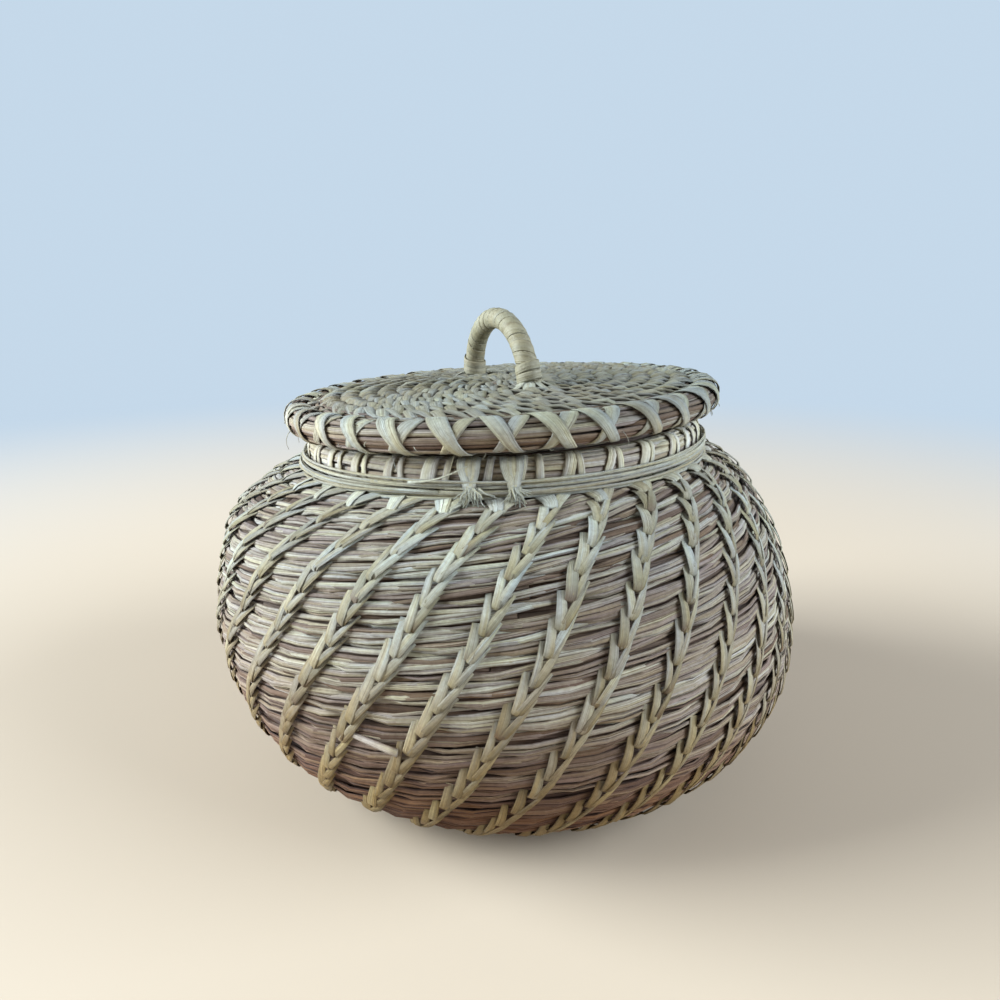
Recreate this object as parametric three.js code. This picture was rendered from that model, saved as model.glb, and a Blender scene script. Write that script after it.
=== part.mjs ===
// Lidded grass basket: a coiled belly sewn with rows of split grass, a neck collar bound by a hoop of
// splints, and a loose coiled lid with a laced rim and a wrapped handle.
// Millimetres, +Z up, the floor at z = 0, the front towards -Y.
import * as THREE from "three";

// Basket wall
const BELLY_RADIUS = 115; // outside of the widest round
const BELLY_HEIGHT = 63; // of the widest round above the floor
const BASE_RADIUS = 64; // where the flat bottom turns up into the wall
const SHOULDER_HEIGHT = 121; // top of the wall, where the neck stands
const NECK_RADIUS = 75; // middle of the last round of the wall
const NECK_SLOPE = 2; // degrees that the hand-made neck leans, its right side high

// One round of the grass coil
const COIL_PITCH = 7.2; // from one round to the next, along the wall
const COIL_DEPTH = 7; // through the wall
const COIL_GAP = 0.7; // air between rounds
const EYE_RADIUS = 4.6; // middle of the first round of a flat spiral

// Rows of stitches that climb the wall
const ROW_COUNT = 32;
const ROW_LEAN = 0.35; // degrees round the basket for each millimetre up the wall
const ROW_PHASE = -40.5; // degrees from the front, of the first row at the eye of the base
const ROW_WIDTH = 3;
const ROW_THICKNESS = 1.3;
const ROW_SWAY = 0.7; // each stitch steps this far to one side, then to the other

// Neck collar and the hoop of splints round its foot
const COLLAR_RADIUS = 73; // middle of the bundle
const COLLAR_WIDTH = 9;
const COLLAR_HEIGHT = 12;
const SPLINT_COUNT = 3;
const SPLINT_WIDTH = 1.9; // standing height of one splint
const SPLINT_THICKNESS = 1.7;

// Lid
const LID_TILT = 1; // degrees that the lid sits askew on the neck, its right side high
const RIM_WIDTH = 14;
const RIM_HEIGHT = 11;
const RIM_INSET = 1.5; // inner side of the rim, outside the inner side of the collar
const DISC_DROP = 0.5; // top of the disc below the top of the rim
const DISC_TAPER_END = 1.5; // width left where the disc's last round tapers out
const LACING_LOOPS = 24;
const LACING_WIDTH = 3;
const LACING_THICKNESS = 1.2;
const LOCATING_CLEARANCE = 2; // all round, between the locating ring and the collar
const LOCATING_WIDTH = 5;
const LOCATING_DROP = 8; // below the underside of the rim, into the neck
const LID_ROW_COUNT = 8;
const LID_ROW_WIDTH = 2.4;
const LID_ROW_THICKNESS = 1;
const LID_ROW_SWIRL = 1.1; // degrees for each millimetre outwards

// Handle
const HANDLE_SPAN = 56; // between the middles of the feet
const HANDLE_RISE = 25; // middle of the arch above the lid
const HANDLE_TURN = 23; // degrees that the arch is turned from front to back
const HANDLE_BACK = 3; // middle of the handle behind the middle of the lid
const HANDLE_CORE_RADIUS = 3.2;
const WRAP_PITCH = 5.6;
const WRAP_WIDTH = 3;
const WRAP_THICKNESS = 1;
const LASHING_TURNS = 2;
const LASHING_PITCH = 3.4;
const LASHING_WIDTH = 2.4;

// Clearance and facets
const SEAT_GAP = 0.3; // between pieces that touch on the real basket
const LEAST_SELF_GAP = 0.4; // any winding keeps more than this from itself
const WALL_STEPS = 24; // straight steps in one round of the wall
const FLAT_STEPS = 12; // straight steps in one round of a flat spiral
const RING_STEPS = 48; // straight steps in a ring
const WRAP_STEPS = 8; // straight steps in one turn round the handle
const ARCH_STEPS = 16;
const LID_ROW_STEPS = 9;

// The coil of the wall is cut into these lengths, from the base up
const WALL_NODES = ["foot_coil", "lower_wall_coil", "belly_coil", "shoulder_coil", "neck_coil"];

// Looks
const GRASS = { color: 0x94795c, roughness: 0.85, metalness: 0 };
const SPLIT_GRASS = { color: 0xb5a583, roughness: 0.7, metalness: 0 };
const COLLAR_GRASS = { color: 0xa58d6b, roughness: 0.8, metalness: 0 };
const HANDLE_GRASS = { color: 0xc9b995, roughness: 0.65, metalness: 0 };

const radians = THREE.MathUtils.degToRad;
const FULL_TURN = 2 * Math.PI;

// A point on the half-plane through the axis at an angle
function around(angle, radius, height) {
  return new THREE.Vector3(radius * Math.cos(angle), radius * Math.sin(angle), height);
}

// The wall leans more and more from the belly up to the neck
function leaning(point) {
  const share = THREE.MathUtils.smoothstep(point.z, BELLY_HEIGHT, SHOULDER_HEIGHT);
  point.z += share * point.x * Math.tan(radians(NECK_SLOPE));
  return point;
}

// A closed body through a row of rings, capped at both ends or joined end to end
function sweep(rings, joined = false) {
  const sides = rings[0].length;
  const positions = rings.flat().flatMap((point) => point.toArray());
  const triangles = [];
  const spans = joined ? rings.length : rings.length - 1;
  for (let i = 0; i < spans; i += 1) {
    const here = i * sides;
    const next = ((i + 1) % rings.length) * sides;
    for (let j = 0; j < sides; j += 1) {
      const k = (j + 1) % sides;
      triangles.push([here + j, next + j, next + k], [here + j, next + k, here + k]);
    }
  }
  if (!joined) {
    const last = (rings.length - 1) * sides;
    for (let j = 1; j < sides - 1; j += 1) {
      triangles.push([0, j, j + 1], [last, last + j + 1, last + j]);
    }
  }
  const points = rings.flat();
  const volume = triangles.reduce((sum, [a, b, c]) => {
    return sum + points[a].dot(new THREE.Vector3().crossVectors(points[b], points[c]));
  }, 0);
  const outward = volume > 0 ? triangles : triangles.map(([a, b, c]) => [a, c, b]);
  const geometry = new THREE.BufferGeometry();
  geometry.setAttribute("position", new THREE.Float32BufferAttribute(positions, 3));
  geometry.setIndex(outward.flat());
  geometry.computeVertexNormals();
  return geometry;
}

// Least distance between the points of rings that lie at least half a turn apart along a winding
function reportSelfGap(name, rings, stepsInTurn) {
  const apart = Math.ceil(stepsInTurn / 2);
  let least = Infinity;
  for (let i = 0; i < rings.length; i += 1) {
    for (let j = i + apart; j < rings.length; j += 1) {
      for (const a of rings[i]) {
        for (const b of rings[j]) {
          least = Math.min(least, a.distanceTo(b));
        }
      }
    }
  }
  const verdict = least > LEAST_SELF_GAP ? "clear" : "too close";
  console.log(`${name}: least gap to itself ${least.toFixed(2)} mm, ${verdict}`);
}

// Section of one coil round, with an edge or a flat on the outside; out is away from the wall's middle
function coilSection(flatOutside) {
  const half = COIL_DEPTH / 2;
  const height = (COIL_PITCH - COIL_GAP) / 2;
  const flat = 0.6 * height;
  const side = flatOutside ? -1 : 1;
  return [
    { out: side * half, along: 0 },
    { out: 0, along: height },
    { out: -side * half, along: flat },
    { out: -side * half, along: -flat },
    { out: 0, along: -height },
  ];
}

// Eight-sided section of a bundle that is bound into a ring
function bundleSection(width, height) {
  const w = width / 2;
  const h = height / 2;
  const half = [[w / 2, -h], [w, -h / 2], [w, h / 2], [w / 2, h]];
  const points = [...half, ...half.toReversed().map(([x, y]) => [-x, y])];
  return points.map(([x, y]) => new THREE.Vector2(x, y));
}

// The same outline moved outwards by a distance, corner by corner
function offsetOutline(points, distance) {
  return points.map((point, i) => {
    const before = points[(i + points.length - 1) % points.length];
    const after = points[(i + 1) % points.length];
    const into = point.clone().sub(before).normalize();
    const away = after.clone().sub(point).normalize();
    const first = new THREE.Vector2(into.y, -into.x);
    const second = new THREE.Vector2(away.y, -away.x);
    const reach = distance / (1 + first.dot(second));
    return point.clone().addScaledVector(first.add(second), reach);
  });
}

// A ring of one section about the axis
function ringGeometry(section, radius, height) {
  const rings = [];
  for (let i = 0; i < RING_STEPS; i += 1) {
    const angle = (FULL_TURN * i) / RING_STEPS;
    rings.push(section.map((point) => around(angle, radius + point.x, height + point.y)));
  }
  return sweep(rings, true);
}

function addPiece(group, name, geometry, look) {
  const mesh = new THREE.Mesh(geometry, new THREE.MeshStandardMaterial(look));
  mesh.name = name;
  group.add(mesh);
}

// The wall's middle line, from the eye of the base out, round the belly and in to the neck
const HALF_DEPTH = COIL_DEPTH / 2;
const meridian = new THREE.CurvePath();
meridian.add(new THREE.LineCurve(
  new THREE.Vector2(EYE_RADIUS, HALF_DEPTH),
  new THREE.Vector2(BASE_RADIUS, HALF_DEPTH),
));
meridian.add(new THREE.EllipseCurve(
  BASE_RADIUS,
  BELLY_HEIGHT,
  BELLY_RADIUS - HALF_DEPTH - BASE_RADIUS,
  BELLY_HEIGHT - HALF_DEPTH,
  -Math.PI / 2,
  0,
));
meridian.add(new THREE.EllipseCurve(
  NECK_RADIUS,
  BELLY_HEIGHT,
  BELLY_RADIUS - HALF_DEPTH - NECK_RADIUS,
  SHOULDER_HEIGHT - HALF_DEPTH - BELLY_HEIGHT,
  0,
  Math.PI / 2,
));
const baseRounds = meridian.curves[0].getLength() / COIL_PITCH;
const allRounds = meridian.getLength() / COIL_PITCH;
const stepsInNode = Math.floor(((allRounds - baseRounds) * WALL_STEPS) / WALL_NODES.length);

// One point of the coil: where the middle line is after some rounds, and which way is out and along
function coilStation(rounds) {
  const t = Math.min(rounds / allRounds, 1);
  const middle = meridian.getPoint(t);
  const along = meridian.getTangent(t);
  const out = new THREE.Vector2(along.y, -along.x);
  return { angle: FULL_TURN * rounds, middle, along, out };
}

function coilRing(rounds, section) {
  const { angle, middle, along, out } = coilStation(rounds);
  return section.map((corner) => {
    const point = middle.clone().addScaledVector(out, corner.out).addScaledVector(along, corner.along);
    return leaning(around(angle, point.x, point.y));
  });
}

// Rings of a stretch of coil, cut back a little at each end so that it meets the next face to face
function coilRings(from, steps, stepsInRound, section) {
  const rings = [];
  for (let i = 0; i <= steps; i += 1) {
    const rounds = from + i / stepsInRound;
    const cut = SEAT_GAP / 2 / (FULL_TURN * coilStation(rounds).middle.x);
    const inwards = (i === 0 ? cut : 0) - (i === steps ? cut : 0);
    rings.push(coilRing(rounds + inwards, section));
  }
  return rings;
}

function addBase(group) {
  const steps = Math.floor(baseRounds * FLAT_STEPS);
  const rings = coilRings(baseRounds - steps / FLAT_STEPS, steps, FLAT_STEPS, coilSection(true));
  reportSelfGap("base_coil", rings, FLAT_STEPS);
  addPiece(group, "base_coil", sweep(rings), GRASS);
}

function addWall(group) {
  WALL_NODES.forEach((name, i) => {
    const from = baseRounds + (i * stepsInNode) / WALL_STEPS;
    const rings = coilRings(from, stepsInNode, WALL_STEPS, coilSection(false));
    reportSelfGap(name, rings, WALL_STEPS);
    addPiece(group, name, sweep(rings), GRASS);
  });
}

// Outer edge of the wall's coil after some rounds, on the straight step that it lies on
function crestPoint(rounds, lift) {
  const place = (rounds - baseRounds) * WALL_STEPS;
  const step = Math.floor(place);
  const [from, to] = [step, step + 1].map((i) => {
    const { angle, middle, out } = coilStation(baseRounds + i / WALL_STEPS);
    const point = middle.clone().addScaledVector(out, HALF_DEPTH + lift);
    return leaning(around(angle, point.x, point.y));
  });
  return from.lerp(to, place - step);
}

const hoopInner = COLLAR_RADIUS + COLLAR_WIDTH / 2 + SEAT_GAP;
const hoopOuter = hoopInner + SPLINT_THICKNESS;

// One stitch row: a ribbon from round to round, clear of the floor and of the hoop
function rowRings(row) {
  const turnInRound = (ROW_LEAN * COIL_PITCH) / 360;
  const phase = (ROW_PHASE - 90 + (360 * row) / ROW_COUNT) / 360;
  const lastRound = baseRounds + (WALL_NODES.length * stepsInNode) / WALL_STEPS - 1 / WALL_STEPS;
  const rings = [];
  for (let i = Math.ceil(baseRounds); i <= Math.ceil(allRounds); i += 1) {
    const rounds = (i + phase) / (1 - turnInRound);
    if (rounds < baseRounds || rounds > lastRound) {
      continue;
    }
    const { middle } = coilStation(rounds);
    const sway = (i % 2 === 0 ? ROW_SWAY : -ROW_SWAY) / (FULL_TURN * middle.x);
    const half = ROW_WIDTH / 2 / (FULL_TURN * middle.x);
    const apex = crestPoint(rounds + sway, SEAT_GAP + ROW_THICKNESS);
    const reach = Math.hypot(apex.x, apex.y);
    const aboveFloor = apex.z > ROW_THICKNESS;
    const belowHoop = apex.z < BELLY_HEIGHT || reach > hoopOuter + ROW_WIDTH;
    if (aboveFloor && belowHoop) {
      rings.push([
        crestPoint(rounds + sway - half, SEAT_GAP),
        crestPoint(rounds + sway + half, SEAT_GAP),
        apex,
      ]);
    }
  }
  return rings;
}

function addStitchRows(group) {
  for (let row = 0; row < ROW_COUNT; row += 1) {
    const name = `stitch_row_${String(row + 1).padStart(2, "0")}`;
    addPiece(group, name, sweep(rowRings(row)), SPLIT_GRASS);
  }
}

// Heights in the neck's own frame, whose zero is the top of the wall
const collarFoot = SEAT_GAP;
const collarTop = collarFoot + COLLAR_HEIGHT;

function makeNeck() {
  const group = new THREE.Group();
  const section = bundleSection(COLLAR_WIDTH, COLLAR_HEIGHT);
  const middle = collarFoot + COLLAR_HEIGHT / 2;
  addPiece(group, "neck_collar", ringGeometry(section, COLLAR_RADIUS, middle), COLLAR_GRASS);
  const splint = [
    new THREE.Vector2(0, 0),
    new THREE.Vector2(SPLINT_THICKNESS, 0),
    new THREE.Vector2(SPLINT_THICKNESS, SPLINT_WIDTH),
    new THREE.Vector2(0, SPLINT_WIDTH),
  ];
  for (let i = 0; i < SPLINT_COUNT; i += 1) {
    const foot = collarFoot + i * (SPLINT_WIDTH + SEAT_GAP);
    addPiece(group, `hoop_splint_${i + 1}`, ringGeometry(splint, hoopInner, foot), SPLIT_GRASS);
  }
  group.position.z = SHOULDER_HEIGHT;
  group.rotation.y = -radians(NECK_SLOPE);
  return group;
}

// Heights in the lid's own frame, whose zero is the underside of the lacing
const collarInner = COLLAR_RADIUS - COLLAR_WIDTH / 2;
const rimRadius = collarInner + RIM_INSET + RIM_WIDTH / 2;
const rimMiddle = LACING_THICKNESS + SEAT_GAP + RIM_HEIGHT / 2;
const discTop = rimMiddle + RIM_HEIGHT / 2 - DISC_DROP;
const rimSection = bundleSection(RIM_WIDTH, RIM_HEIGHT);
const lacingInside = offsetOutline(rimSection, SEAT_GAP);
const lacingOutside = offsetOutline(rimSection, SEAT_GAP + LACING_THICKNESS);
const lacingInnerRadius = rimRadius + Math.min(...lacingOutside.map((point) => point.x));
const discRadius = lacingInnerRadius - SEAT_GAP;

function addRim(group) {
  addPiece(group, "lid_rim_coil", ringGeometry(rimSection, rimRadius, rimMiddle), GRASS);
}

// The strip that is wound round and round the rim and sews it to the disc, whose corner its first loop meets
function addLacing(group) {
  const sides = rimSection.length;
  const steps = LACING_LOOPS * sides;
  const sweepAngle = FULL_TURN - (2 * LACING_WIDTH) / (rimRadius - RIM_WIDTH / 2);
  const innerFirst = rimSection.findIndex((point) => point.x === -RIM_WIDTH / 2);
  const rings = [];
  for (let i = 0; i <= steps; i += 1) {
    const angle = (sweepAngle * (i - innerFirst - 0.5)) / steps;
    const inside = lacingInside[i % sides];
    const outside = lacingOutside[i % sides];
    const half = LACING_WIDTH / 2 / (rimRadius + inside.x);
    rings.push([
      around(angle - half, rimRadius + inside.x, rimMiddle + inside.y),
      around(angle + half, rimRadius + inside.x, rimMiddle + inside.y),
      around(angle, rimRadius + outside.x, rimMiddle + outside.y),
    ]);
  }
  reportSelfGap("lid_rim_lacing", rings, sides);
  addPiece(group, "lid_rim_lacing", sweep(rings), SPLIT_GRASS);
}

// The lid's flat spiral, whose last round tapers out along the edge, so that the edge is round
function addDisc(group) {
  const half = (COIL_PITCH - COIL_GAP) / 2;
  const lastStart = discRadius - half;
  const fullSteps = Math.floor(((lastStart - EYE_RADIUS) / COIL_PITCH) * FLAT_STEPS);
  const taperSteps = Math.floor(((2 * half - DISC_TAPER_END) / COIL_PITCH) * FLAT_STEPS);
  const section = coilSection(true);
  const rings = [];
  for (let i = -fullSteps; i <= taperSteps; i += 1) {
    const angle = (FULL_TURN * i) / FLAT_STEPS;
    const inner = lastStart - half + (i / FLAT_STEPS) * COIL_PITCH;
    const outer = Math.min(inner + 2 * half, discRadius);
    const middle = (inner + outer) / 2;
    const narrowing = (outer - inner) / (2 * half);
    rings.push(section.map(({ out, along }) => {
      return around(angle, middle + along * narrowing, discTop - HALF_DEPTH + out);
    }));
  }
  reportSelfGap("lid_disc_coil", rings, FLAT_STEPS);
  addPiece(group, "lid_disc_coil", sweep(rings), GRASS);
}

// The round under the lid that drops into the neck and keeps the lid in place
function addLocatingRing(group) {
  const top = discTop - COIL_DEPTH - SEAT_GAP;
  const height = top + LOCATING_DROP;
  const radius = collarInner - LOCATING_CLEARANCE - LOCATING_WIDTH / 2;
  const section = bundleSection(LOCATING_WIDTH, height);
  addPiece(group, "lid_locating_ring", ringGeometry(section, radius, top - height / 2), GRASS);
}

// The handle's middle line, as a place and a way along it, from the back foot to the front foot
const handleFoot = discTop + SEAT_GAP;
const arch = new THREE.EllipseCurve(0, 0, HANDLE_SPAN / 2, HANDLE_RISE, 0, Math.PI);
const archLength = arch.getLength();
const archDirection = new THREE.Vector3(0, 1, 0).applyAxisAngle(
  new THREE.Vector3(0, 0, 1),
  radians(HANDLE_TURN),
);
const archSide = new THREE.Vector3().crossVectors(archDirection, new THREE.Vector3(0, 0, 1));

function archStation(distance) {
  const share = distance / archLength;
  const flat = arch.getPointAt(share);
  const way = arch.getTangentAt(share);
  const place = archDirection.clone().multiplyScalar(flat.x);
  place.y += HANDLE_BACK;
  place.z = handleFoot + flat.y;
  const out = archDirection.clone().multiplyScalar(way.y);
  out.z = -way.x;
  const along = archDirection.clone().multiplyScalar(way.x);
  along.z = way.y;
  return { place, out, along };
}

// A point at a distance along the arch, an angle round it and a distance off its middle line
function aroundArch(distance, angle, off) {
  const { place, out } = archStation(distance);
  place.addScaledVector(out, off * Math.cos(angle));
  return place.addScaledVector(archSide, off * Math.sin(angle));
}

function addHandleCore(group) {
  const sides = 6;
  const rings = [];
  for (let i = 0; i <= ARCH_STEPS; i += 1) {
    const distance = (archLength * i) / ARCH_STEPS;
    const ring = [];
    for (let j = 0; j < sides; j += 1) {
      ring.push(aroundArch(distance, (FULL_TURN * j) / sides, HANDLE_CORE_RADIUS));
    }
    rings.push(ring);
  }
  addPiece(group, "handle_core", sweep(rings), HANDLE_GRASS);
}

// A strip wound round the handle between two distances along it
function addWinding(group, name, from, to, turns, width, thickness) {
  const inside = (HANDLE_CORE_RADIUS + SEAT_GAP) / Math.cos(Math.PI / WRAP_STEPS);
  const steps = Math.round(turns * WRAP_STEPS);
  const rings = [];
  for (let i = 0; i <= steps; i += 1) {
    const distance = from + ((to - from) * i) / steps;
    const angle = (FULL_TURN * i) / WRAP_STEPS;
    rings.push([
      aroundArch(distance - width / 2, angle, inside),
      aroundArch(distance + width / 2, angle, inside),
      aroundArch(distance, angle, inside + thickness),
    ]);
  }
  reportSelfGap(name, rings, WRAP_STEPS);
  addPiece(group, name, sweep(rings), HANDLE_GRASS);
}

function addHandleWindings(group) {
  const lashingStart = LASHING_WIDTH / 2 + SEAT_GAP;
  const lashingEnd = lashingStart + LASHING_TURNS * LASHING_PITCH;
  const wrapStart = lashingEnd + LASHING_WIDTH / 2 + WRAP_WIDTH / 2 + LEAST_SELF_GAP;
  const wrapEnd = archLength - wrapStart;
  const turns = Math.floor((wrapEnd - wrapStart) / WRAP_PITCH);
  const lashing = [LASHING_TURNS, LASHING_WIDTH, WRAP_THICKNESS];
  addWinding(group, "handle_lashing_back", lashingStart, lashingEnd, ...lashing);
  addWinding(group, "handle_wrap", wrapStart, wrapEnd, turns, WRAP_WIDTH, WRAP_THICKNESS);
  addWinding(group, "handle_lashing_front", archLength - lashingEnd, archLength - lashingStart, ...lashing);
}

// Rows of stitches that swirl out over the lid and pass midway between the handle's feet
function addLidRows(group) {
  const footAngle = radians(90 + HANDLE_TURN);
  const inner = EYE_RADIUS + COIL_PITCH;
  const outer = discRadius - COIL_PITCH;
  const low = discTop + SEAT_GAP;
  for (let row = 0; row < LID_ROW_COUNT; row += 1) {
    const rings = [];
    for (let i = 0; i <= LID_ROW_STEPS; i += 1) {
      const radius = inner + ((outer - inner) * i) / LID_ROW_STEPS;
      const swirl = radians(LID_ROW_SWIRL * (radius - HANDLE_SPAN / 2));
      const angle = footAngle + (FULL_TURN * (row + 0.5)) / LID_ROW_COUNT + swirl;
      const half = LID_ROW_WIDTH / 2 / radius;
      rings.push([
        around(angle - half, radius, low),
        around(angle + half, radius, low),
        around(angle, radius, low + LID_ROW_THICKNESS),
      ]);
    }
    addPiece(group, `lid_stitch_row_${row + 1}`, sweep(rings), SPLIT_GRASS);
  }
}

function makeBasket() {
  const group = new THREE.Group();
  addBase(group);
  addWall(group);
  addStitchRows(group);
  return group;
}

function makeLid() {
  const group = new THREE.Group();
  addRim(group);
  addLacing(group);
  addDisc(group);
  addLocatingRing(group);
  addLidRows(group);
  addHandleCore(group);
  addHandleWindings(group);
  const lift = (COLLAR_RADIUS + COLLAR_WIDTH / 2) * Math.tan(radians(LID_TILT));
  group.position.z = collarTop + SEAT_GAP + lift;
  group.rotation.y = -radians(LID_TILT);
  return group;
}

const neck = makeNeck();
neck.add(makeLid());
const liddedBasket = new THREE.Group();
liddedBasket.add(makeBasket(), neck);

export default liddedBasket;
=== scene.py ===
"""Lidded grass basket, strand by strand: coiled stems, split stitches, a bound neck and a loose lid."""
import math

import bmesh
import bpy
import numpy as np
from mathutils import Matrix, Vector


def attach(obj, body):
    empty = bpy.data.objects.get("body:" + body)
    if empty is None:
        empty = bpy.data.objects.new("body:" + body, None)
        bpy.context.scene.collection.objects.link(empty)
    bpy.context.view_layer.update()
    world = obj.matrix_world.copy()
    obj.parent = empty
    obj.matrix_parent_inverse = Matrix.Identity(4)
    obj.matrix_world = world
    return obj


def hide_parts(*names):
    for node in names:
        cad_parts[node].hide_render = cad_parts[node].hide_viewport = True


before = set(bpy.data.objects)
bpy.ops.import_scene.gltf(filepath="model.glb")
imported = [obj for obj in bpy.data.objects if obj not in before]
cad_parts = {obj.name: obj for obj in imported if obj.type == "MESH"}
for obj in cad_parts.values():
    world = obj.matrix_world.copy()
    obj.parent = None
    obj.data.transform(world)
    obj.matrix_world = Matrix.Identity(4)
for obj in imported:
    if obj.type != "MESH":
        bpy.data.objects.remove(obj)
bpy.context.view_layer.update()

bl_info = {
    "name": "Lidded grass basket",
    "version": (1, 0, 0),
    "blender": (4, 5, 0),
    "location": "View3D > Sidebar > Basket",
    "description": "Builds a coiled grass basket with a loose lid",
    "category": "Add Mesh",
}

MM = 0.001
FULL_TURN = 2 * math.pi
BASKET = "basket"
LID = "lid"
WALL_NODES = ("foot_coil", "lower_wall_coil", "belly_coil", "shoulder_coil", "neck_coil")
HOOP_NODES = ("hoop_splint_1", "hoop_splint_2", "hoop_splint_3")
LID_ROW_NODES = tuple(f"lid_stitch_row_{i + 1}" for i in range(8))

# First seed of each kind of piece
SEEDS = {
    "base": 11,
    "wall": 20,
    "stitch_rows": 100,
    "collar": 301,
    "hoop": 320,
    "disc": 401,
    "rim": 411,
    "lacing": 421,
    "ring": 431,
    "lid_rows": 440,
    "handle_core": 501,
    "handle_wrap": 502,
    "lashing": 510,
}


# Settings


def length(name, description, default):
    """A length that a user can change."""
    return bpy.props.FloatProperty(
        name=name, description=description, default=default, unit="LENGTH", precision=5
    )


def angle(name, description, degrees):
    """An angle that a user can change."""
    return bpy.props.FloatProperty(
        name=name, description=description, default=math.radians(degrees), subtype="ANGLE"
    )


def count(name, description, default):
    """A number of like pieces that a user can change."""
    return bpy.props.IntProperty(name=name, description=description, default=default, min=1)


def colour(name, description, default):
    """A colour that a user can change, in linear light."""
    return bpy.props.FloatVectorProperty(
        name=name, description=description, default=default, size=3, subtype="COLOR", min=0, max=1
    )


def power(name, description, watts):
    """A lamp's power that a user can change."""
    return bpy.props.FloatProperty(name=name, description=description, default=watts, unit="POWER")


class BasketSizes(bpy.types.PropertyGroup):
    """Sizes of the basket's body and neck."""

    belly_radius: length("Belly radius", "Outside of the widest round", 115 * MM)
    belly_height: length("Belly height", "Height of the widest round", 63 * MM)
    base_radius: length("Base radius", "Where the flat bottom turns up", 64 * MM)
    shoulder_height: length("Shoulder height", "Top of the wall", 121 * MM)
    neck_radius: length("Neck radius", "Middle of the wall's last round", 75 * MM)
    wall_depth: length("Wall depth", "Thickness of the coiled wall", 7 * MM)
    round_pitch: length("Round pitch", "From one round of the coil to the next", 7.2 * MM)
    eye_radius: length("Eye radius", "First round of a flat spiral", 4.6 * MM)
    row_count: count("Stitch rows", "Rows of stitches round the wall", 32)
    row_lean: angle("Row lean", "Turn of a stitch row for each metre up the wall", 350)
    row_start: angle("Row start", "Place of the first row at the base edge, from the front", -18.75)
    neck_slope: angle("Neck slope", "Lean of the hand-made neck, its right side high", 2)
    collar_radius: length("Collar radius", "Middle of the neck bundle", 73 * MM)
    collar_width: length("Collar width", "Through the neck bundle", 9 * MM)
    collar_height: length("Collar height", "Height of the neck bundle", 12 * MM)
    collar_pairs: count("Collar strips", "Pairs of upright strips round the neck", 33)


class LidSizes(bpy.types.PropertyGroup):
    """Sizes of the lid and its handle."""

    tilt: angle("Lid tilt", "How far the lid sits askew on the neck", 1)
    seat: length("Seat", "Underside of the lacing above the top of the wall", 13.95 * MM)
    rim_radius: length("Rim radius", "Middle of the rim bundle", 78.6 * MM)
    rim_width: length("Rim width", "Through the rim bundle", 10.8 * MM)
    rim_tall: length("Rim thickness", "Height of the rim bundle", 10.2 * MM)
    rim_height: length("Rim height", "Middle of the rim above the lacing's underside", 6.4 * MM)
    disc_top: length("Disc top", "Top of the disc above the lacing's underside", 12.2 * MM)
    dome: length("Dome", "Rise of the disc's middle over its edge", 1.6 * MM)
    disc_radius: length("Disc radius", "Edge of the disc", 73.5 * MM)
    crosses: count("Rim crosses", "Crossed strips round the rim", 32)
    swirl: angle("Swirl", "Turn of a stitch row for each metre out", 1100)
    ring_radius: length("Locating ring radius", "Middle of the round that drops into the neck", 64 * MM)
    ring_width: length("Locating ring width", "Through that round", 5 * MM)
    ring_top: length("Locating ring top", "Above the lacing's underside", 4.7 * MM)
    ring_foot: length("Locating ring foot", "Below the lacing's underside", -8 * MM)
    handle_span: length("Handle span", "Between the middles of its feet", 56 * MM)
    handle_rise: length("Handle rise", "Middle of the arch above the disc", 25 * MM)
    handle_turn: angle("Handle turn", "Turn of the arch from front to back", 23)
    handle_back: length("Handle back", "Middle of the handle behind the lid's middle", 3 * MM)
    handle_core: length("Handle core", "Radius inside the wrapping", 3.9 * MM)
    wrap_pitch: length("Wrap pitch", "From one turn of the wrapping to the next", 4.1 * MM)


class GrassColours(bpy.types.PropertyGroup):
    """Colours of the dried grass, from the darkest to the palest, and of the studio."""

    # The shade stop is painted shade: the colour of each bundle's hidden heart, standing in for the shade
    # between its stems
    shade: colour("Shade", "Dark inside of the bundles", (0.055, 0.030, 0.018))
    brown: colour("Brown stem", "Weathered stems", (0.165, 0.105, 0.070))
    rosy: colour("Rosy stem", "Most of the stems", (0.284, 0.230, 0.198))
    yellow: colour("Dry yellow", "Feet of the strips", (0.292, 0.258, 0.178))
    straw: colour("Straw", "Yellow stems", (0.386, 0.356, 0.306))
    pale: colour("Pale straw", "Strips and bleached stems", (0.455, 0.452, 0.405))
    bleached: colour("Bleached", "Palest fibres", (0.570, 0.585, 0.535))
    backdrop: colour("Backdrop", "Pale far background", (0.560, 0.690, 0.820))
    floor: colour("Floor", "Plain studio floor", (0.470, 0.385, 0.295))


class StageSettings(bpy.types.PropertyGroup):
    """Camera and lamps."""

    eye_distance: length("Eye distance", "Camera in front of the basket's axis", 302.0 * MM)
    eye_height: length("Eye height", "Camera above the floor", 184.0 * MM)
    eye_side: length("Eye side", "Camera to the right of the axis", -1.6 * MM)
    pitch: angle("Pitch", "How far the camera looks down", 15.8)
    roll: angle("Roll", "Turn of the camera about its own line of sight", -0.4)
    lens: bpy.props.FloatProperty(name="Lens", description="Focal length", default=27.04, unit="CAMERA")
    key_power: power("Key light", "Front left lamp", 510)
    fill_power: power("Fill light", "Right lamp", 240)
    sky: bpy.props.FloatProperty(name="Sky", description="Level of the even light", default=0.25, min=0)


def basket_sizes():
    """The basket's sizes as set in this scene."""
    return bpy.context.scene.grass_basket


def lid_sizes():
    """The lid's sizes as set in this scene."""
    return bpy.context.scene.grass_lid


# Shaping


def smooth_step(value, low, high):
    """Rises smoothly from 0 at low to 1 at high."""
    share = np.clip((value - low) / (high - low), 0, 1)
    return share * share * (3 - 2 * share)


def read_off(reach, reaches, columns):
    """Each column of a table read at a distance along a line."""
    return np.stack([np.interp(reach, reaches, column) for column in columns.T], axis=-1)


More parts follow.
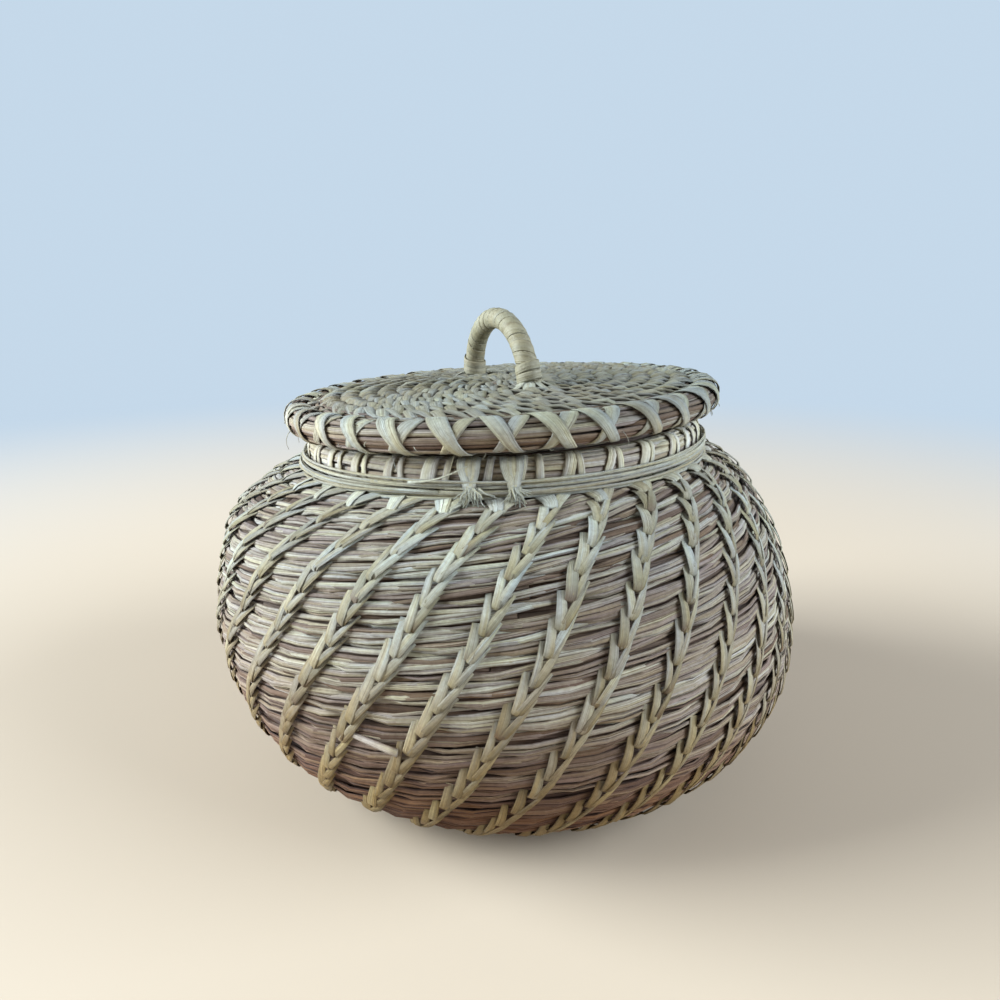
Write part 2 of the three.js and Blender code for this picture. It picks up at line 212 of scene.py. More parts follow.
def rounded_square(tip, squareness):
    """A point on a section between round and square, at an angle from its right side."""
    x, y = np.cos(tip), np.sin(tip)
    return np.sign(x) * np.abs(x) ** squareness, np.sign(y) * np.abs(y) ** squareness


def polar(turn, radius, height):
    """Points at an angle from the front, which is -Y, towards +X."""
    return np.stack(np.broadcast_arrays(radius * np.sin(turn), -radius * np.cos(turn), height), axis=-1)


def round_way(turn):
    """The way round the axis at an angle from the front."""
    return np.stack(np.broadcast_arrays(np.cos(turn), np.sin(turn), 0.0), axis=-1)


def turned_up(points, slope):
    """Points with the right side raised by an angle."""
    x, y, z = np.moveaxis(points, -1, 0)
    across = x * math.cos(slope) - z * math.sin(slope)
    up = x * math.sin(slope) + z * math.cos(slope)
    return np.stack([across, y, up], axis=-1)


def neck_place(points):
    """From the neck's own frame, whose zero is the top of the wall, into the basket's."""
    sizes = basket_sizes()
    return turned_up(points, sizes.neck_slope) + np.array([0, 0, sizes.shoulder_height])


def lid_place(points):
    """From the lid's own frame, whose zero is the underside of the lacing, into the basket's."""
    sizes = lid_sizes()
    return neck_place(turned_up(points, sizes.tilt) + np.array([0, 0, sizes.seat]))


# Height, shift to the right and extra radius of the belly, in millimetres
BELLY_BY_EYE = (
    (0, 2.5, 0.4),
    (20, 2.5, 1.9),
    (42, 2.0, 1.4),
    (63, 0.0, 0.6),
    (85, -1.2, -0.8),
    (105, -4.2, 0.5),
    (121, -1.2, 0.0),
)


def hand_made(points):
    """The belly's small lopsidedness, as a real one has that is sewn by eye."""
    sizes = basket_sizes()
    x, y, z = np.moveaxis(points, -1, 0)
    share = smooth_step(z, sizes.belly_height, sizes.shoulder_height)
    lean = share * x * math.tan(sizes.neck_slope)
    height, drift, swell = (np.array(column) * MM for column in zip(*BELLY_BY_EYE))
    radius = np.maximum(np.hypot(x, y), MM)
    beyond_base = smooth_step(radius, sizes.base_radius / 2, sizes.base_radius)
    fuller = 1 + np.interp(z, height, swell) / radius * beyond_base
    return np.stack([x * fuller + np.interp(z, height, drift), y * fuller, z + lean], axis=-1)


# How thin the base is beside the wall, and between which reaches it thickens
BASE_THINNING = 0.60
THICKENING = (-4 * MM, 12 * MM)
OUTLINE_SAMPLES = 400


class Wall:
    """The middle surface of the coiled wall, measured along its outline from the edge of the base."""

    def __init__(self):
        sizes = basket_sizes()
        half = sizes.wall_depth / 2
        bend = np.linspace(0, math.pi / 2, OUTLINE_SAMPLES)
        belly = sizes.belly_radius - half
        lower = np.stack([
            sizes.base_radius + (belly - sizes.base_radius) * np.sin(bend),
            sizes.belly_height - (sizes.belly_height - half) * np.cos(bend),
        ], axis=-1)
        upper = np.stack([
            sizes.neck_radius + (belly - sizes.neck_radius) * np.cos(bend),
            sizes.belly_height + (sizes.shoulder_height - half - sizes.belly_height) * np.sin(bend),
        ], axis=-1)
        eye = np.array([[sizes.eye_radius - sizes.round_pitch / 2, half]])
        outline = np.concatenate([eye, lower, upper[1:]])
        steps = np.linalg.norm(np.diff(outline, axis=0), axis=1)
        self.outline = outline
        self.reach = np.concatenate([[0], np.cumsum(steps)]) - steps[0]
        self.slope = np.gradient(outline, self.reach, axis=0)
        self.slope[0] = (1, 0)
        self.start = self.reach[0]
        self.end = self.reach[-1]
        self.rows_in_turn = sizes.row_count * (1 - sizes.row_lean * sizes.round_pitch / FULL_TURN)

    def ways(self, reach):
        """Outward and upward directions of the outline, each as (across the radius, up)."""
        way = read_off(reach, self.reach, self.slope)
        way /= np.linalg.norm(way, axis=-1, keepdims=True)
        return np.stack([way[..., 1], -way[..., 0]], axis=-1), way

    def radius(self, reach):
        """Radius of the middle surface."""
        return np.interp(reach, self.reach, self.outline[:, 0])

    def point(self, reach, turn, out):
        """A point at a distance along the outline, an angle from the front and a distance out."""
        normal, _ = self.ways(reach)
        middle = read_off(reach, self.reach, self.outline)
        radius = middle[..., 0] + out * normal[..., 0]
        height = middle[..., 1] + out * normal[..., 1]
        return hand_made(polar(turn, radius, height))

    def lift(self, reach, turn, tip=0.0, roll=0.0):
        """The way out, tipped up the wall by one angle and rolled round the basket by another."""
        normal, way = self.ways(reach)
        across = np.cos(tip) * normal[..., 0] + np.sin(tip) * way[..., 0]
        up = np.cos(tip) * normal[..., 1] + np.sin(tip) * way[..., 1]
        return math.cos(roll) * polar(turn, across, up) + math.sin(roll) * round_way(turn)

    def half_depth(self, reach):
        """Half the thickness of the wall, thinner over the flat base so that its stitches clear the floor."""
        share = smooth_step(reach, *THICKENING)
        return basket_sizes().wall_depth / 2 * (BASE_THINNING + (1 - BASE_THINNING) * share)


# Strands

STEM_SIDES = 6
HIDDEN_SIDES = 5
HANDLE_SIDES = 10
STRIP_FLATNESS = 0.35
SPARE_LENGTH = 40.0

# Places in a strand's cell of the bake map: its sides, its end caps and the margin round both
BAKE_MAP = "OFBake"
SIDES_SHARE = 0.92
CAP_MIDDLE = 0.965
CAP_HALF_WIDTH = 0.03
CAP_REACH = 0.4
CELL_MARGIN = 0.04
CELL_LENGTH = 3


def bar_template(rings, sides):
    """A closed bar along z in rings, each of its faces with a place of its own in the bake map."""
    bm = bmesh.new()
    step = FULL_TURN / sides
    half_step = Matrix.Rotation(step / 2, 4, "Z")
    bmesh.ops.create_cone(bm, cap_ends=True, segments=sides, radius1=1, radius2=1, depth=1, matrix=half_step)
    upright = [edge for edge in bm.edges if abs(edge.verts[0].co.z - edge.verts[1].co.z) > 0.5]
    bmesh.ops.subdivide_edges(bm, edges=upright, cuts=rings - 2, use_grid_fill=True)
    layer = bm.loops.layers.uv.new(BAKE_MAP)
    for face in bm.faces:
        cap = abs(face.normal.z) > 0.5
        centre = face.calc_center_median()
        first = round(math.atan2(centre.x, centre.y) % FULL_TURN / step) % sides
        for loop in face.loops:
            turn = math.atan2(loop.vert.co.x, loop.vert.co.y) % FULL_TURN
            if cap:
                height = 0.5 + CAP_REACH * face.normal.z * (0.5 + CAP_REACH * math.cos(turn))
                loop[layer].uv = (CAP_MIDDLE + CAP_HALF_WIDTH * math.sin(turn), height)
            else:
                across = first + (int(turn / step) == first)
                loop[layer].uv = (SIDES_SHARE * (loop.vert.co.z + 0.5), across / sides)
    mesh = bpy.data.meshes.new("bar")
    bm.to_mesh(mesh)
    bm.free()
    return mesh


def bake_places(bar, cell, columns, rows):
    """Where the copies of a bar lie in the bake map, each in a cell of its own."""
    flat = np.empty(len(bar.loops) * 2)
    bar.uv_layers[BAKE_MAP].uv.foreach_get("vector", flat)
    corner = np.stack([cell % columns, cell // columns], axis=-1)[:, None, :]
    inside = CELL_MARGIN + (1 - 2 * CELL_MARGIN) * flat.reshape(1, -1, 2)
    return ((corner + inside) / (columns, rows)).ravel()


class Strands:
    """Strands of grass gathered into one piece: each is a bar of a few sides, bent along its own path."""

    def __init__(self, seed, sides=STEM_SIDES, place=np.asarray, flatness=1.0):
        self.sides = sides
        self.flatness = flatness
        self.place = place
        self.random = np.random.default_rng(seed)
        self.groups = []

    def add(self, path, lift, width, thickness, tone):
        """Adds strands: path and lift by strand and ring, half sizes that spread over them, a tone each."""
        shape = path.shape[:2]
        centre = self.place(path)
        lift = self.place(lift) - self.place(np.zeros(3))
        along = np.gradient(centre, axis=1)
        along /= np.linalg.norm(along, axis=-1, keepdims=True)
        side = np.cross(lift, along)
        side /= np.linalg.norm(side, axis=-1, keepdims=True)
        rise = np.cross(along, side)
        steps = np.linalg.norm(np.diff(centre, axis=1), axis=-1)
        gone = np.concatenate([np.zeros((shape[0], 1)), np.cumsum(steps, axis=1)], axis=1)
        gone += self.random.uniform(0, SPARE_LENGTH, (shape[0], 1))
        width = np.broadcast_to(width, shape)[..., None]
        thickness = np.broadcast_to(thickness, shape)[..., None]
        tone = np.broadcast_to(np.reshape(tone, (shape[0], -1)), shape)
        self.groups.append((centre, side * width, rise * thickness, gone, tone))

    def bend(self, bar, centre, side, rise, gone, tone):
        """The points of a bar bent along each strand, and how far along, across and how pale they are."""
        corner = np.empty(len(bar.vertices) * 3)
        bar.vertices.foreach_get("co", corner)
        x, y, z = corner.reshape(-1, 3).T
        many, rings = gone.shape
        ring = np.rint((z + 0.5) * (rings - 1)).astype(int)
        x = np.sign(x) * (np.abs(x) / np.abs(x).max()) ** self.flatness
        points = centre[:, ring] + x[:, None] * side[:, ring] + y[:, None] * rise[:, ring]
        across = np.broadcast_to(x, (many, len(x)))
        return points, np.stack([gone[:, ring], across, tone[:, ring]], axis=-1)

    def mesh(self, name):
        """One mesh of all the strands, with the facts that a finish reads on every point."""
        bm = bmesh.new()
        places, facts, maps = [], [], []
        total = sum(len(group[0]) for group in self.groups)
        columns = max(1, round(math.sqrt(total / CELL_LENGTH)))
        rows = math.ceil(total / columns)
        done = 0
        for group in self.groups:
            many, rings = group[0].shape[:2]
            bar = bar_template(rings, self.sides)
            points, fact = self.bend(bar, *group)
            places.append(points.ravel())
            facts.append(fact.ravel())
            maps.append(bake_places(bar, done + np.arange(many), columns, rows))
            done += many
            for _ in range(many):
                bm.from_mesh(bar)
            bpy.data.meshes.remove(bar)
        mesh = bpy.data.meshes.new(name)
        bm.to_mesh(mesh)
        bm.free()
        mesh.vertices.foreach_set("co", np.concatenate(places))
        strand = mesh.attributes.new("strand", "FLOAT_VECTOR", "POINT")
        strand.data.foreach_set("vector", np.concatenate(facts))
        mesh.uv_layers[BAKE_MAP].uv.foreach_set("vector", np.concatenate(maps))
        mesh.shade_smooth()
        mesh.update()
        return mesh


def finish_piece(strands, name, body, slot, material, *nodes):
    """Makes the strands one piece of the basket, in place of the CAD nodes it stands for."""
    piece = bpy.data.objects.new(name, strands.mesh(name))
    bpy.context.scene.collection.objects.link(piece)
    piece.data.materials.append(material)
    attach(piece, body)
    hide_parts(*nodes)


def cut_to_lengths(stations, choices, overlap, random):
    """Cuts a line of stations into strands of a few lengths: a dict from length to first stations."""
    strands = {}
    at = 0
    while at < stations - overlap:
        fitting = [size for size in choices if at + size <= stations] or [min(choices)]
        size = int(random.choice(fitting))
        strands.setdefault(size, []).append(at)
        at += size - overlap
    return strands


def stations_of(firsts, rings):
    """The stations of strands of so many rings that begin at some stations."""
    return np.array(firsts)[:, None] + np.arange(rings)[None, :]


def jitter(random, many, amount, middle=0.0):
    """A small difference for each of many strands."""
    return random.normal(middle, amount, (many, 1))


def between(random, many, limits):
    """A value between two limits for each of many strands."""
    return random.uniform(*limits, (many, 1))


WANDER_SPEED = (0.5, 1.5)
SLOW_WAVES = 2


def wander(random, shape, amount, waves):
    """Slow sideways drift along each strand."""
    many, rings = shape
    share = np.linspace(0, 1, rings)
    phase = random.uniform(0, FULL_TURN, (many, 1))
    speed = between(random, many, WANDER_SPEED) * waves
    return amount * np.sin(phase + FULL_TURN * speed * share)


def end_shape(rings, tuck):
    """How far each ring of a strand sinks: nothing along it, all the way at its tucked ends."""
    share = np.abs(np.linspace(-1, 1, rings))
    return smooth_step(share, 1 - 2 * tuck, 1)


# Tones run from 0, the shade inside a bundle, to 1, a bleached fibre. Each kind of stem has a share
STEM_TONES = ((0.22, 0.12), (0.40, 0.33), (0.55, 0.35), (0.72, 0.20))
STEM_TONE_SPREAD = 0.05
DARKEST_STEM = 0.12


def stem_tones(random, how_many):
    """Tones of dried stems: mostly rosy brown and straw, with bleached and dark ones among them."""
    kinds = random.choice(len(STEM_TONES), how_many, p=[share for _, share in STEM_TONES])
    middles = np.array([tone for tone, _ in STEM_TONES])
    return np.clip(middles[kinds] + random.normal(0, STEM_TONE_SPREAD, how_many), DARKEST_STEM, 1)


def tones_near(random, how_many, middle, spread, darkest, palest=1):
    """Tones scattered about a middle one."""
    return np.clip(random.normal(middle, spread, how_many), darkest, palest)


# Basket

STATIONS_IN_ROW = 2
SPARE_STATIONS = 3
COIL_FLATNESS = 0.85
STEM_THICKNESS = 0.5 * MM
STEM_SWAY = 0.3 * MM
STEM_OVERLAP = 2
GROOVE = 0.34
GROOVE_SHARPNESS = 4
ROW_PINCH = 0.8 * MM
ROW_SQUEEZE = 0.06
ROUND_FILL = 1.02
ROUND_CROWN = math.radians(38)

# Stems that show, counted in rows of stitches along the coil
STEM_ROWS = (2, 3, 4)
STEM_FIRST = -0.5
STEM_STEP = 0.42
STEM_WAVES = 1.5
STEM_OVERRUN = 1.04
STEM_TUCK = 0.04
STEM_END_SINK = 0.2 * MM
STEM_OVERRUN_SINK = 2.0 * MM
STEM_END_THINNING = 0.3
STEM_HALF_WIDTH = (0.6 * MM, 1.15 * MM)
STEM_HALF_DEPTH = (0.36 * MM, 0.58 * MM)
STEM_UNEVEN = {"end": 0.025, "climb": 0.08, "sink": 0.16 * MM}

# Stems on the inside, and the heart of the coil
INNER_LINES = (-0.75, -0.25, 0.25, 0.75)
INNER_LENGTHS = (9, 17, 25)
INNER_UNEVEN = 0.06
INNER_TUCK = 0.1
INNER_END_SINK = 0.3 * MM
INNER_HALF_WIDTH = (0.9 * MM, 1.35 * MM)
HEART_LENGTHS = (5, 9, 17, 33)
HEART_OVERLAP = 1
HEART_CLEAR = 0.9 * MM
# The heart's tone is painted shade, nearly as dark as the shade stop, standing in for the shade between the
# stems
HEART_SHADE_TONE = 0.05


class WallCoil:
    """Strands of the coil between two distances along the wall."""

    def __init__(self, wall, low, high, seed):
        sizes = basket_sizes()
        self.wall = wall
        self.strands = Strands(seed, flatness=COIL_FLATNESS)
        self.random = np.random.default_rng(seed + 1)
        self.pitch = sizes.round_pitch
        self.start = low / self.pitch * wall.rows_in_turn
        self.stretch = (high - low) / self.pitch * wall.rows_in_turn
        self.row_start = sizes.row_start
        self.row_lean = sizes.row_lean

    def lay(self, station, line, side, sink, sway):
        """Path and lift of strands at stations in rows, between the lower groove, -1, and the upper, 1."""
        place = self.start + station
        turns = place / self.wall.rows_in_turn
        turn = self.row_start + FULL_TURN * turns
        near_row = (np.cos(FULL_TURN * place) * 0.5 + 0.5) ** 2
        middle = self.pitch * turns
        half = self.wall.half_depth(middle) - STEM_THICKNESS
        out = half * (1 - GROOVE * np.abs(line) ** GROOVE_SHARPNESS) - sink - ROW_PINCH * near_row
        along = ROUND_FILL * self.pitch / 2 * line * (1 - ROW_SQUEEZE * near_row) + sway
        turn = turn + self.row_lean * along
        reach = np.clip(middle + along, self.wall.start, self.wall.end)
        tip = ROUND_CROWN * line if side > 0 else math.pi - ROUND_CROWN * line
        return self.wall.point(reach, turn, side * out), self.wall.lift(reach, turn, tip)

    def add_stems(self):
        """The stems that show: each climbs from groove to groove, with its ends under stitch rows."""
        firsts = np.arange(STEM_FIRST, self.stretch, STEM_STEP)
        lengths = self.random.choice(STEM_ROWS, len(firsts))
        for rows in STEM_ROWS:
            begin = firsts[lengths == rows][:, None]
            many = len(begin)
            rings = (rows + 1) * STATIONS_IN_ROW + 1
            on_row = np.floor(self.start + begin) - self.start
            station = on_row + np.linspace(0, rows + 1, rings)
            station = station + jitter(self.random, many, STEM_UNEVEN["end"])
            climb = 2 * (station - begin) / rows - 1 + jitter(self.random, many, STEM_UNEVEN["climb"])
            line = np.clip(climb, -STEM_OVERRUN, STEM_OVERRUN)
            ends = end_shape(rings, STEM_TUCK)
            sink = STEM_END_SINK * ends + STEM_OVERRUN_SINK * np.abs(climb - line)
            sink = sink + jitter(self.random, many, STEM_UNEVEN["sink"])
            sway = wander(self.random, station.shape, STEM_SWAY, STEM_WAVES)
            path, lift = self.lay(station, line, 1, sink, sway)
            thinner = 1 - STEM_END_THINNING * ends
            width = between(self.random, many, STEM_HALF_WIDTH) * thinner
            thickness = between(self.random, many, STEM_HALF_DEPTH) * thinner
            self.strands.add(path, lift, width, thickness, stem_tones(self.random, many))

    def add_inside(self):
        """Plainer and broader stems on the inside of the wall."""
        stations = int(self.stretch * STATIONS_IN_ROW) + SPARE_STATIONS
        for middle in INNER_LINES:
            for rings, firsts in cut_to_lengths(stations, INNER_LENGTHS, STEM_OVERLAP, self.random).items():
                many = len(firsts)
                station = stations_of(firsts, rings)
                line = middle + jitter(self.random, many, INNER_UNEVEN) + np.zeros(rings)
                sway = wander(self.random, station.shape, STEM_SWAY, SLOW_WAVES)
                sink = INNER_END_SINK * end_shape(rings, INNER_TUCK)
                path, lift = self.lay(station / STATIONS_IN_ROW, line, -1, sink, sway)
                width = between(self.random, many, INNER_HALF_WIDTH)
                self.strands.add(path, lift, width, STEM_THICKNESS, stem_tones(self.random, many))

    def add_heart(self):
        """The heart of the bundle, which closes the gaps between its stems, painted dark as the shade in
        those gaps.
        """
        stations = int(self.stretch) + SPARE_STATIONS
        for rings, firsts in cut_to_lengths(stations, HEART_LENGTHS, HEART_OVERLAP, self.random).items():
            turns = (self.start + stations_of(firsts, rings)) / self.wall.rows_in_turn
            turn = self.row_start + FULL_TURN * turns
            reach = np.clip(self.pitch * turns, self.wall.start, self.wall.end)
            depth = self.wall.half_depth(reach) - HEART_CLEAR
            path, lift = self.wall.point(reach, turn, 0.0), self.wall.lift(reach, turn)
            self.strands.add(path, lift, self.pitch / 2, depth, np.full(len(firsts), HEART_SHADE_TONE))

    def fill(self):
        """All the strands of this length of the coil."""
        self.add_stems()
        self.add_inside()
        self.add_heart()


# A stitch is a strip split into two prongs. Places along a prong run from 0, its foot, to 1, its tip
PRONG_RINGS = (0, 0.05, 0.13, 0.3, 0.5, 0.7, 0.87, 1)
PRONG_FOOT = -0.66
PRONG_TIP = 0.95
PRONG_CURVE = 1.25
PRONG_UNEVEN = {"length": 0.05, "place": 0.04, "spread": 0.14, "height": 0.08 * MM, "width": 0.13}
FOOT_LIFT = 0.4 * MM
FOOT_LAP = (0.15, 0.6)
FOOT_FOLD = 1.0 * MM
FOOT_FOLDED = (0, 0.1)
FOOT_NARROWING = 0.16
FOOT_NARROWED = (0, 0.2)
FOOT_YELLOWING = 0.2
FOOT_YELLOWED = (0, 0.6)
TIP_DIPPED = (0.5, 1)
TIP_TAPERED = (0.4, 1)
PRONGS = (
    {"side": 1, "foot": 0.45 * MM, "spread": 3.1 * MM, "width": 1.25 * MM, "taper": 0.65, "roll": 6},
    {"side": -1, "foot": 0.3 * MM, "spread": 3.4 * MM, "width": 1.55 * MM, "taper": 0.18, "roll": -6},
)
STRIP_TONE = 0.63
STRIP_TONE_SPREAD = 0.09
DARKEST_STRIP = 0.42


def folded_foot(share):
    """How far the foot of a strip is folded in."""
    return FOOT_FOLD * (1 - smooth_step(share, *FOOT_FOLDED))


class Prongs:
    """One prong of each of many stitches: broad at the foot, where two prongs meet, tapered at the tip."""

    def __init__(self, random, many):
        self.random = random
        self.many = many
        self.share = np.array(PRONG_RINGS)[None, :]

    def uneven(self, kind):
        """A small difference for each stitch."""
        return jitter(self.random, self.many, PRONG_UNEVEN[kind])

    def climb(self, pitch):
        """How far up from the middle of the round each ring lies."""
        rise = (PRONG_TIP - PRONG_FOOT) * self.share * (1 + self.uneven("length"))
        return pitch * (PRONG_FOOT + rise + self.uneven("place"))

    def aside(self, prong):
        """How far to one side of the row each ring lies."""
        spread = prong["spread"] * (1 + self.uneven("spread")) * self.share**PRONG_CURVE
        return prong["side"] * (prong["foot"] + spread)

    def height(self, over, dip):
        """How far each ring stands off: its foot lies over the stitch below, its tip dips under the next."""
        lap = FOOT_LIFT * (1 - smooth_step(self.share, *FOOT_LAP)) - folded_foot(self.share)
        return over + self.uneven("height") + lap - dip * smooth_step(self.share, *TIP_DIPPED)

    def width(self, prong):
        """Half the width of each ring, with nearly straight sides."""
        foot = FOOT_NARROWING * (1 - smooth_step(self.share, *FOOT_NARROWED))
        tip = prong["taper"] * smooth_step(self.share, *TIP_TAPERED)
        return prong["width"] * (1 + self.uneven("width")) * (1 - foot - tip)

    def tone(self):
        """Tone of each ring: yellower at the foot, bleached towards the tip."""
        middle = tones_near(self.random, (self.many, 1), STRIP_TONE, STRIP_TONE_SPREAD, DARKEST_STRIP)
        return middle - FOOT_YELLOWING * (1 - smooth_step(self.share, *FOOT_YELLOWED))


STITCH_PROUD = 0.4 * MM
STITCH_DIP = 1.3 * MM
STITCH_THICKNESS = 0.18 * MM


def add_wall_stitches(strands, wall, places):
    """Stitches on the wall at places counted in rows along the coil."""
    sizes = basket_sizes()
    turns = np.array(places)[:, None] / wall.rows_in_turn
    for prong in PRONGS:
        stitch = Prongs(strands.random, len(places))
        climb = stitch.climb(sizes.round_pitch)
        reach = np.clip(sizes.round_pitch * turns + climb, wall.start, wall.end)
        out = stitch.height(wall.half_depth(reach) + STITCH_PROUD, STITCH_DIP)
        turn = sizes.row_start + FULL_TURN * turns + sizes.row_lean * climb
        turn = turn + stitch.aside(prong) / wall.radius(reach)
        lift = wall.lift(reach, turn, roll=math.radians(prong["roll"]))
        strands.add(wall.point(reach, turn, out), lift, stitch.width(prong), STITCH_THICKNESS, stitch.tone())


KNOT_REACH = 6 * MM
KNOT_SPREAD = 0.8
KNOT_STEMS = 7
KNOT_RINGS = 5
KNOT_HALF_WIDTH = 0.9 * MM


def add_knot(strands, place, height, thickness):
    """Short stems laid side by side across the eye of a flat spiral, which close it."""
    aside = KNOT_REACH * np.linspace(-KNOT_SPREAD, KNOT_SPREAD, KNOT_STEMS)[:, None]
    ahead = KNOT_REACH * np.linspace(-1, 1, KNOT_RINGS)[None, :]
    path = np.stack(np.broadcast_arrays(aside, ahead, height), axis=-1)
    lift = np.broadcast_to((0.0, 0.0, 1.0), path.shape)
    strands.add(place(path), lift, KNOT_HALF_WIDTH, thickness, stem_tones(strands.random, KNOT_STEMS))


BASE_FIRST_ROUND = 0.1
BASE_ROWS_FROM = -46 * MM
BASE_KNOT_DEPTH = 1.6 * MM


class BASKET_OT_base(bpy.types.Operator):
    """Coils the flat base and sews it"""

    bl_idname = "basket.base"
    bl_label = "Base"

    def execute(self, context):
        sizes = basket_sizes()
        wall = Wall()
        coil = WallCoil(wall, wall.start + BASE_FIRST_ROUND * sizes.round_pitch, 0, SEEDS["base"])
        coil.fill()
        rows = range(math.ceil(BASE_ROWS_FROM / sizes.round_pitch * wall.rows_in_turn), 0)
        add_wall_stitches(coil.strands, wall, list(rows))
        add_knot(coil.strands, hand_made, sizes.wall_depth / 2, BASE_KNOT_DEPTH)
        finish_piece(coil.strands, "woven_base", BASKET, "grass_coil", stem_material(), "base_coil")
        return {"FINISHED"}


SPRUNG_TURN = math.radians(-16.4)
SPRUNG_SWEEP = math.radians(10)
SPRUNG_REACH = 78 * MM
SPRUNG_DROP = 2.2 * MM
SPRUNG_OUT = (-1.2 * MM, 1.2 * MM)
SPRUNG_HALF_WIDTH = (0.9 * MM, 1.7 * MM)
SPRUNG_HALF_DEPTH = 0.8 * MM
LOOSE_RINGS = 9


def add_sprung_stem(strands, wall):
    """A pale stem low on the front whose end has sprung out of the coil."""
    share = np.linspace(0, 1, LOOSE_RINGS)[None, :]
    turn = SPRUNG_TURN + SPRUNG_SWEEP * (share - 1)
    reach = SPRUNG_REACH - SPRUNG_DROP * share
    out = wall.half_depth(reach) + np.interp(share, (0, 1), SPRUNG_OUT)
    width = np.interp(share, (0, 1), SPRUNG_HALF_WIDTH)
    strands.add(wall.point(reach, turn, out), wall.lift(reach, turn), width, SPRUNG_HALF_DEPTH, np.ones(1))


class BASKET_OT_wall(bpy.types.Operator):
    """Coils the wall from the base up to the neck, in five lengths"""

    bl_idname = "basket.wall"
    bl_label = "Wall"

    def execute(self, context):
        wall = Wall()
        stretch = wall.end / len(WALL_NODES)
        for i, node in enumerate(WALL_NODES):
            coil = WallCoil(wall, i * stretch, (i + 1) * stretch, SEEDS["wall"] + 2 * i)
            coil.fill()
            if i * stretch < SPRUNG_REACH < (i + 1) * stretch:
                add_sprung_stem(coil.strands, wall)
            finish_piece(coil.strands, "woven_" + node, BASKET, "grass_coil", stem_material(), node)
        return {"FINISHED"}


LOOP_FOOT = -0.62
LOOP_CLIMB = 1.7
LOOP_GAP = 0.6 * MM
LOOP_CURVE = 1.2
LOOP_LEAN = 0.6
LOOP_PROUD = 0.25 * MM
LOOP_ROLL = math.radians(12)
LOOP_NARROWING = 0.3
LOOP_NARROWED = (0, 0.5)
LOOP_TONE = STRIP_TONE + 0.12
LOOP_TONE_SPREAD = 0.05
DARKEST_LOOP = 0.5
LOOP_ARMS = (
    {"side": 1, "spread": 6.0 * MM, "width": 2.0 * MM},
    {"side": -1, "spread": 7.0 * MM, "width": 3.0 * MM},
)


def add_top_loop(strands, wall, place):
    """The broad last stitch of a row, whose two arms open out under the hoop."""
    sizes = basket_sizes()
    turns = place / wall.rows_in_turn
    share = np.array(PRONG_RINGS)[None, :]
    climb = (LOOP_FOOT + LOOP_CLIMB * share) * sizes.round_pitch
    reach = np.clip(sizes.round_pitch * turns + climb, 0, wall.end)
    out = wall.half_depth(reach) + STITCH_PROUD + LOOP_PROUD - folded_foot(share)
    for arm in LOOP_ARMS:
        aside = arm["side"] * (LOOP_GAP + arm["spread"] * share**LOOP_CURVE) / wall.radius(reach)
        turn = sizes.row_start + FULL_TURN * turns + LOOP_LEAN * sizes.row_lean * climb + aside
        lift = wall.lift(reach, turn, roll=LOOP_ROLL * arm["side"])
        half = arm["width"] * (1 - LOOP_NARROWING * (1 - smooth_step(share, *LOOP_NARROWED)))
        tone = tones_near(strands.random, 1, LOOP_TONE, LOOP_TONE_SPREAD, DARKEST_LOOP)
        strands.add(wall.point(reach, turn, out), lift, half, STITCH_THICKNESS, tone)


TOP_CLEAR = 9 * MM


class BASKET_OT_stitch_rows(bpy.types.Operator):
    """Sews the leaning rows of split stitches up the wall"""

    bl_idname = "basket.stitch_rows"
    bl_label = "Stitch rows"

    def execute(self, context):
        sizes = basket_sizes()
        wall = Wall()
        last = int((wall.end - TOP_CLEAR) / sizes.round_pitch * wall.rows_in_turn)
        for row in range(sizes.row_count):
            strands = Strands(SEEDS["stitch_rows"] + row, flatness=STRIP_FLATNESS)
            places = list(range(row, last, sizes.row_count))
            add_wall_stitches(strands, wall, places)
            add_top_loop(strands, wall, places[-1] + sizes.row_count)
            node = f"stitch_row_{row + 1:02d}"
            finish_piece(strands, "sewn_" + node, BASKET, "split_grass", strip_material(), node)
        return {"FINISHED"}


# Bound bundles, with how far inside the bundle's size their stems and their heart lie
BUNDLE_SQUARENESS = 0.88
BUNDLE_LENGTHS = (17, 25, 33)
BUNDLE_TUCK = 0.06
BUNDLE_UNEVEN = 0.25 * MM
BUNDLE_END_SINK = 0.9 * MM
BUNDLE_END_THINNING = 0.4
BUNDLE_SWAY = 0.4 * MM
BUNDLE_SPARE = 4
BUNDLE_HEART_RINGS = 49
COLLAR_BUNDLE = {
    "stations": 64,
    "lines": 17,
    "inset": (2.2 * MM, 1.6 * MM),
    "heart_inset": (3.2 * MM, 3 * MM),
    "half_width": (0.8 * MM, 1.3 * MM),
    "half_depth": 0.55 * MM,
}
RIM_BUNDLE = {
    "stations": 72,
    "lines": 20,
    "inset": (1.4 * MM, 1.4 * MM),
    "heart_inset": (3 * MM, 3 * MM),
    "half_width": (0.8 * MM, 1.25 * MM),
    "half_depth": 0.55 * MM,
}
RING_BUNDLE = {
    "stations": 48,
    "lines": 15,
    "inset": (1.6 * MM, 1.6 * MM),
    "heart_inset": (2.2 * MM, 3 * MM),
    "half_width": (1.1 * MM, 1.7 * MM),
    "half_depth": 0.6 * MM,
}


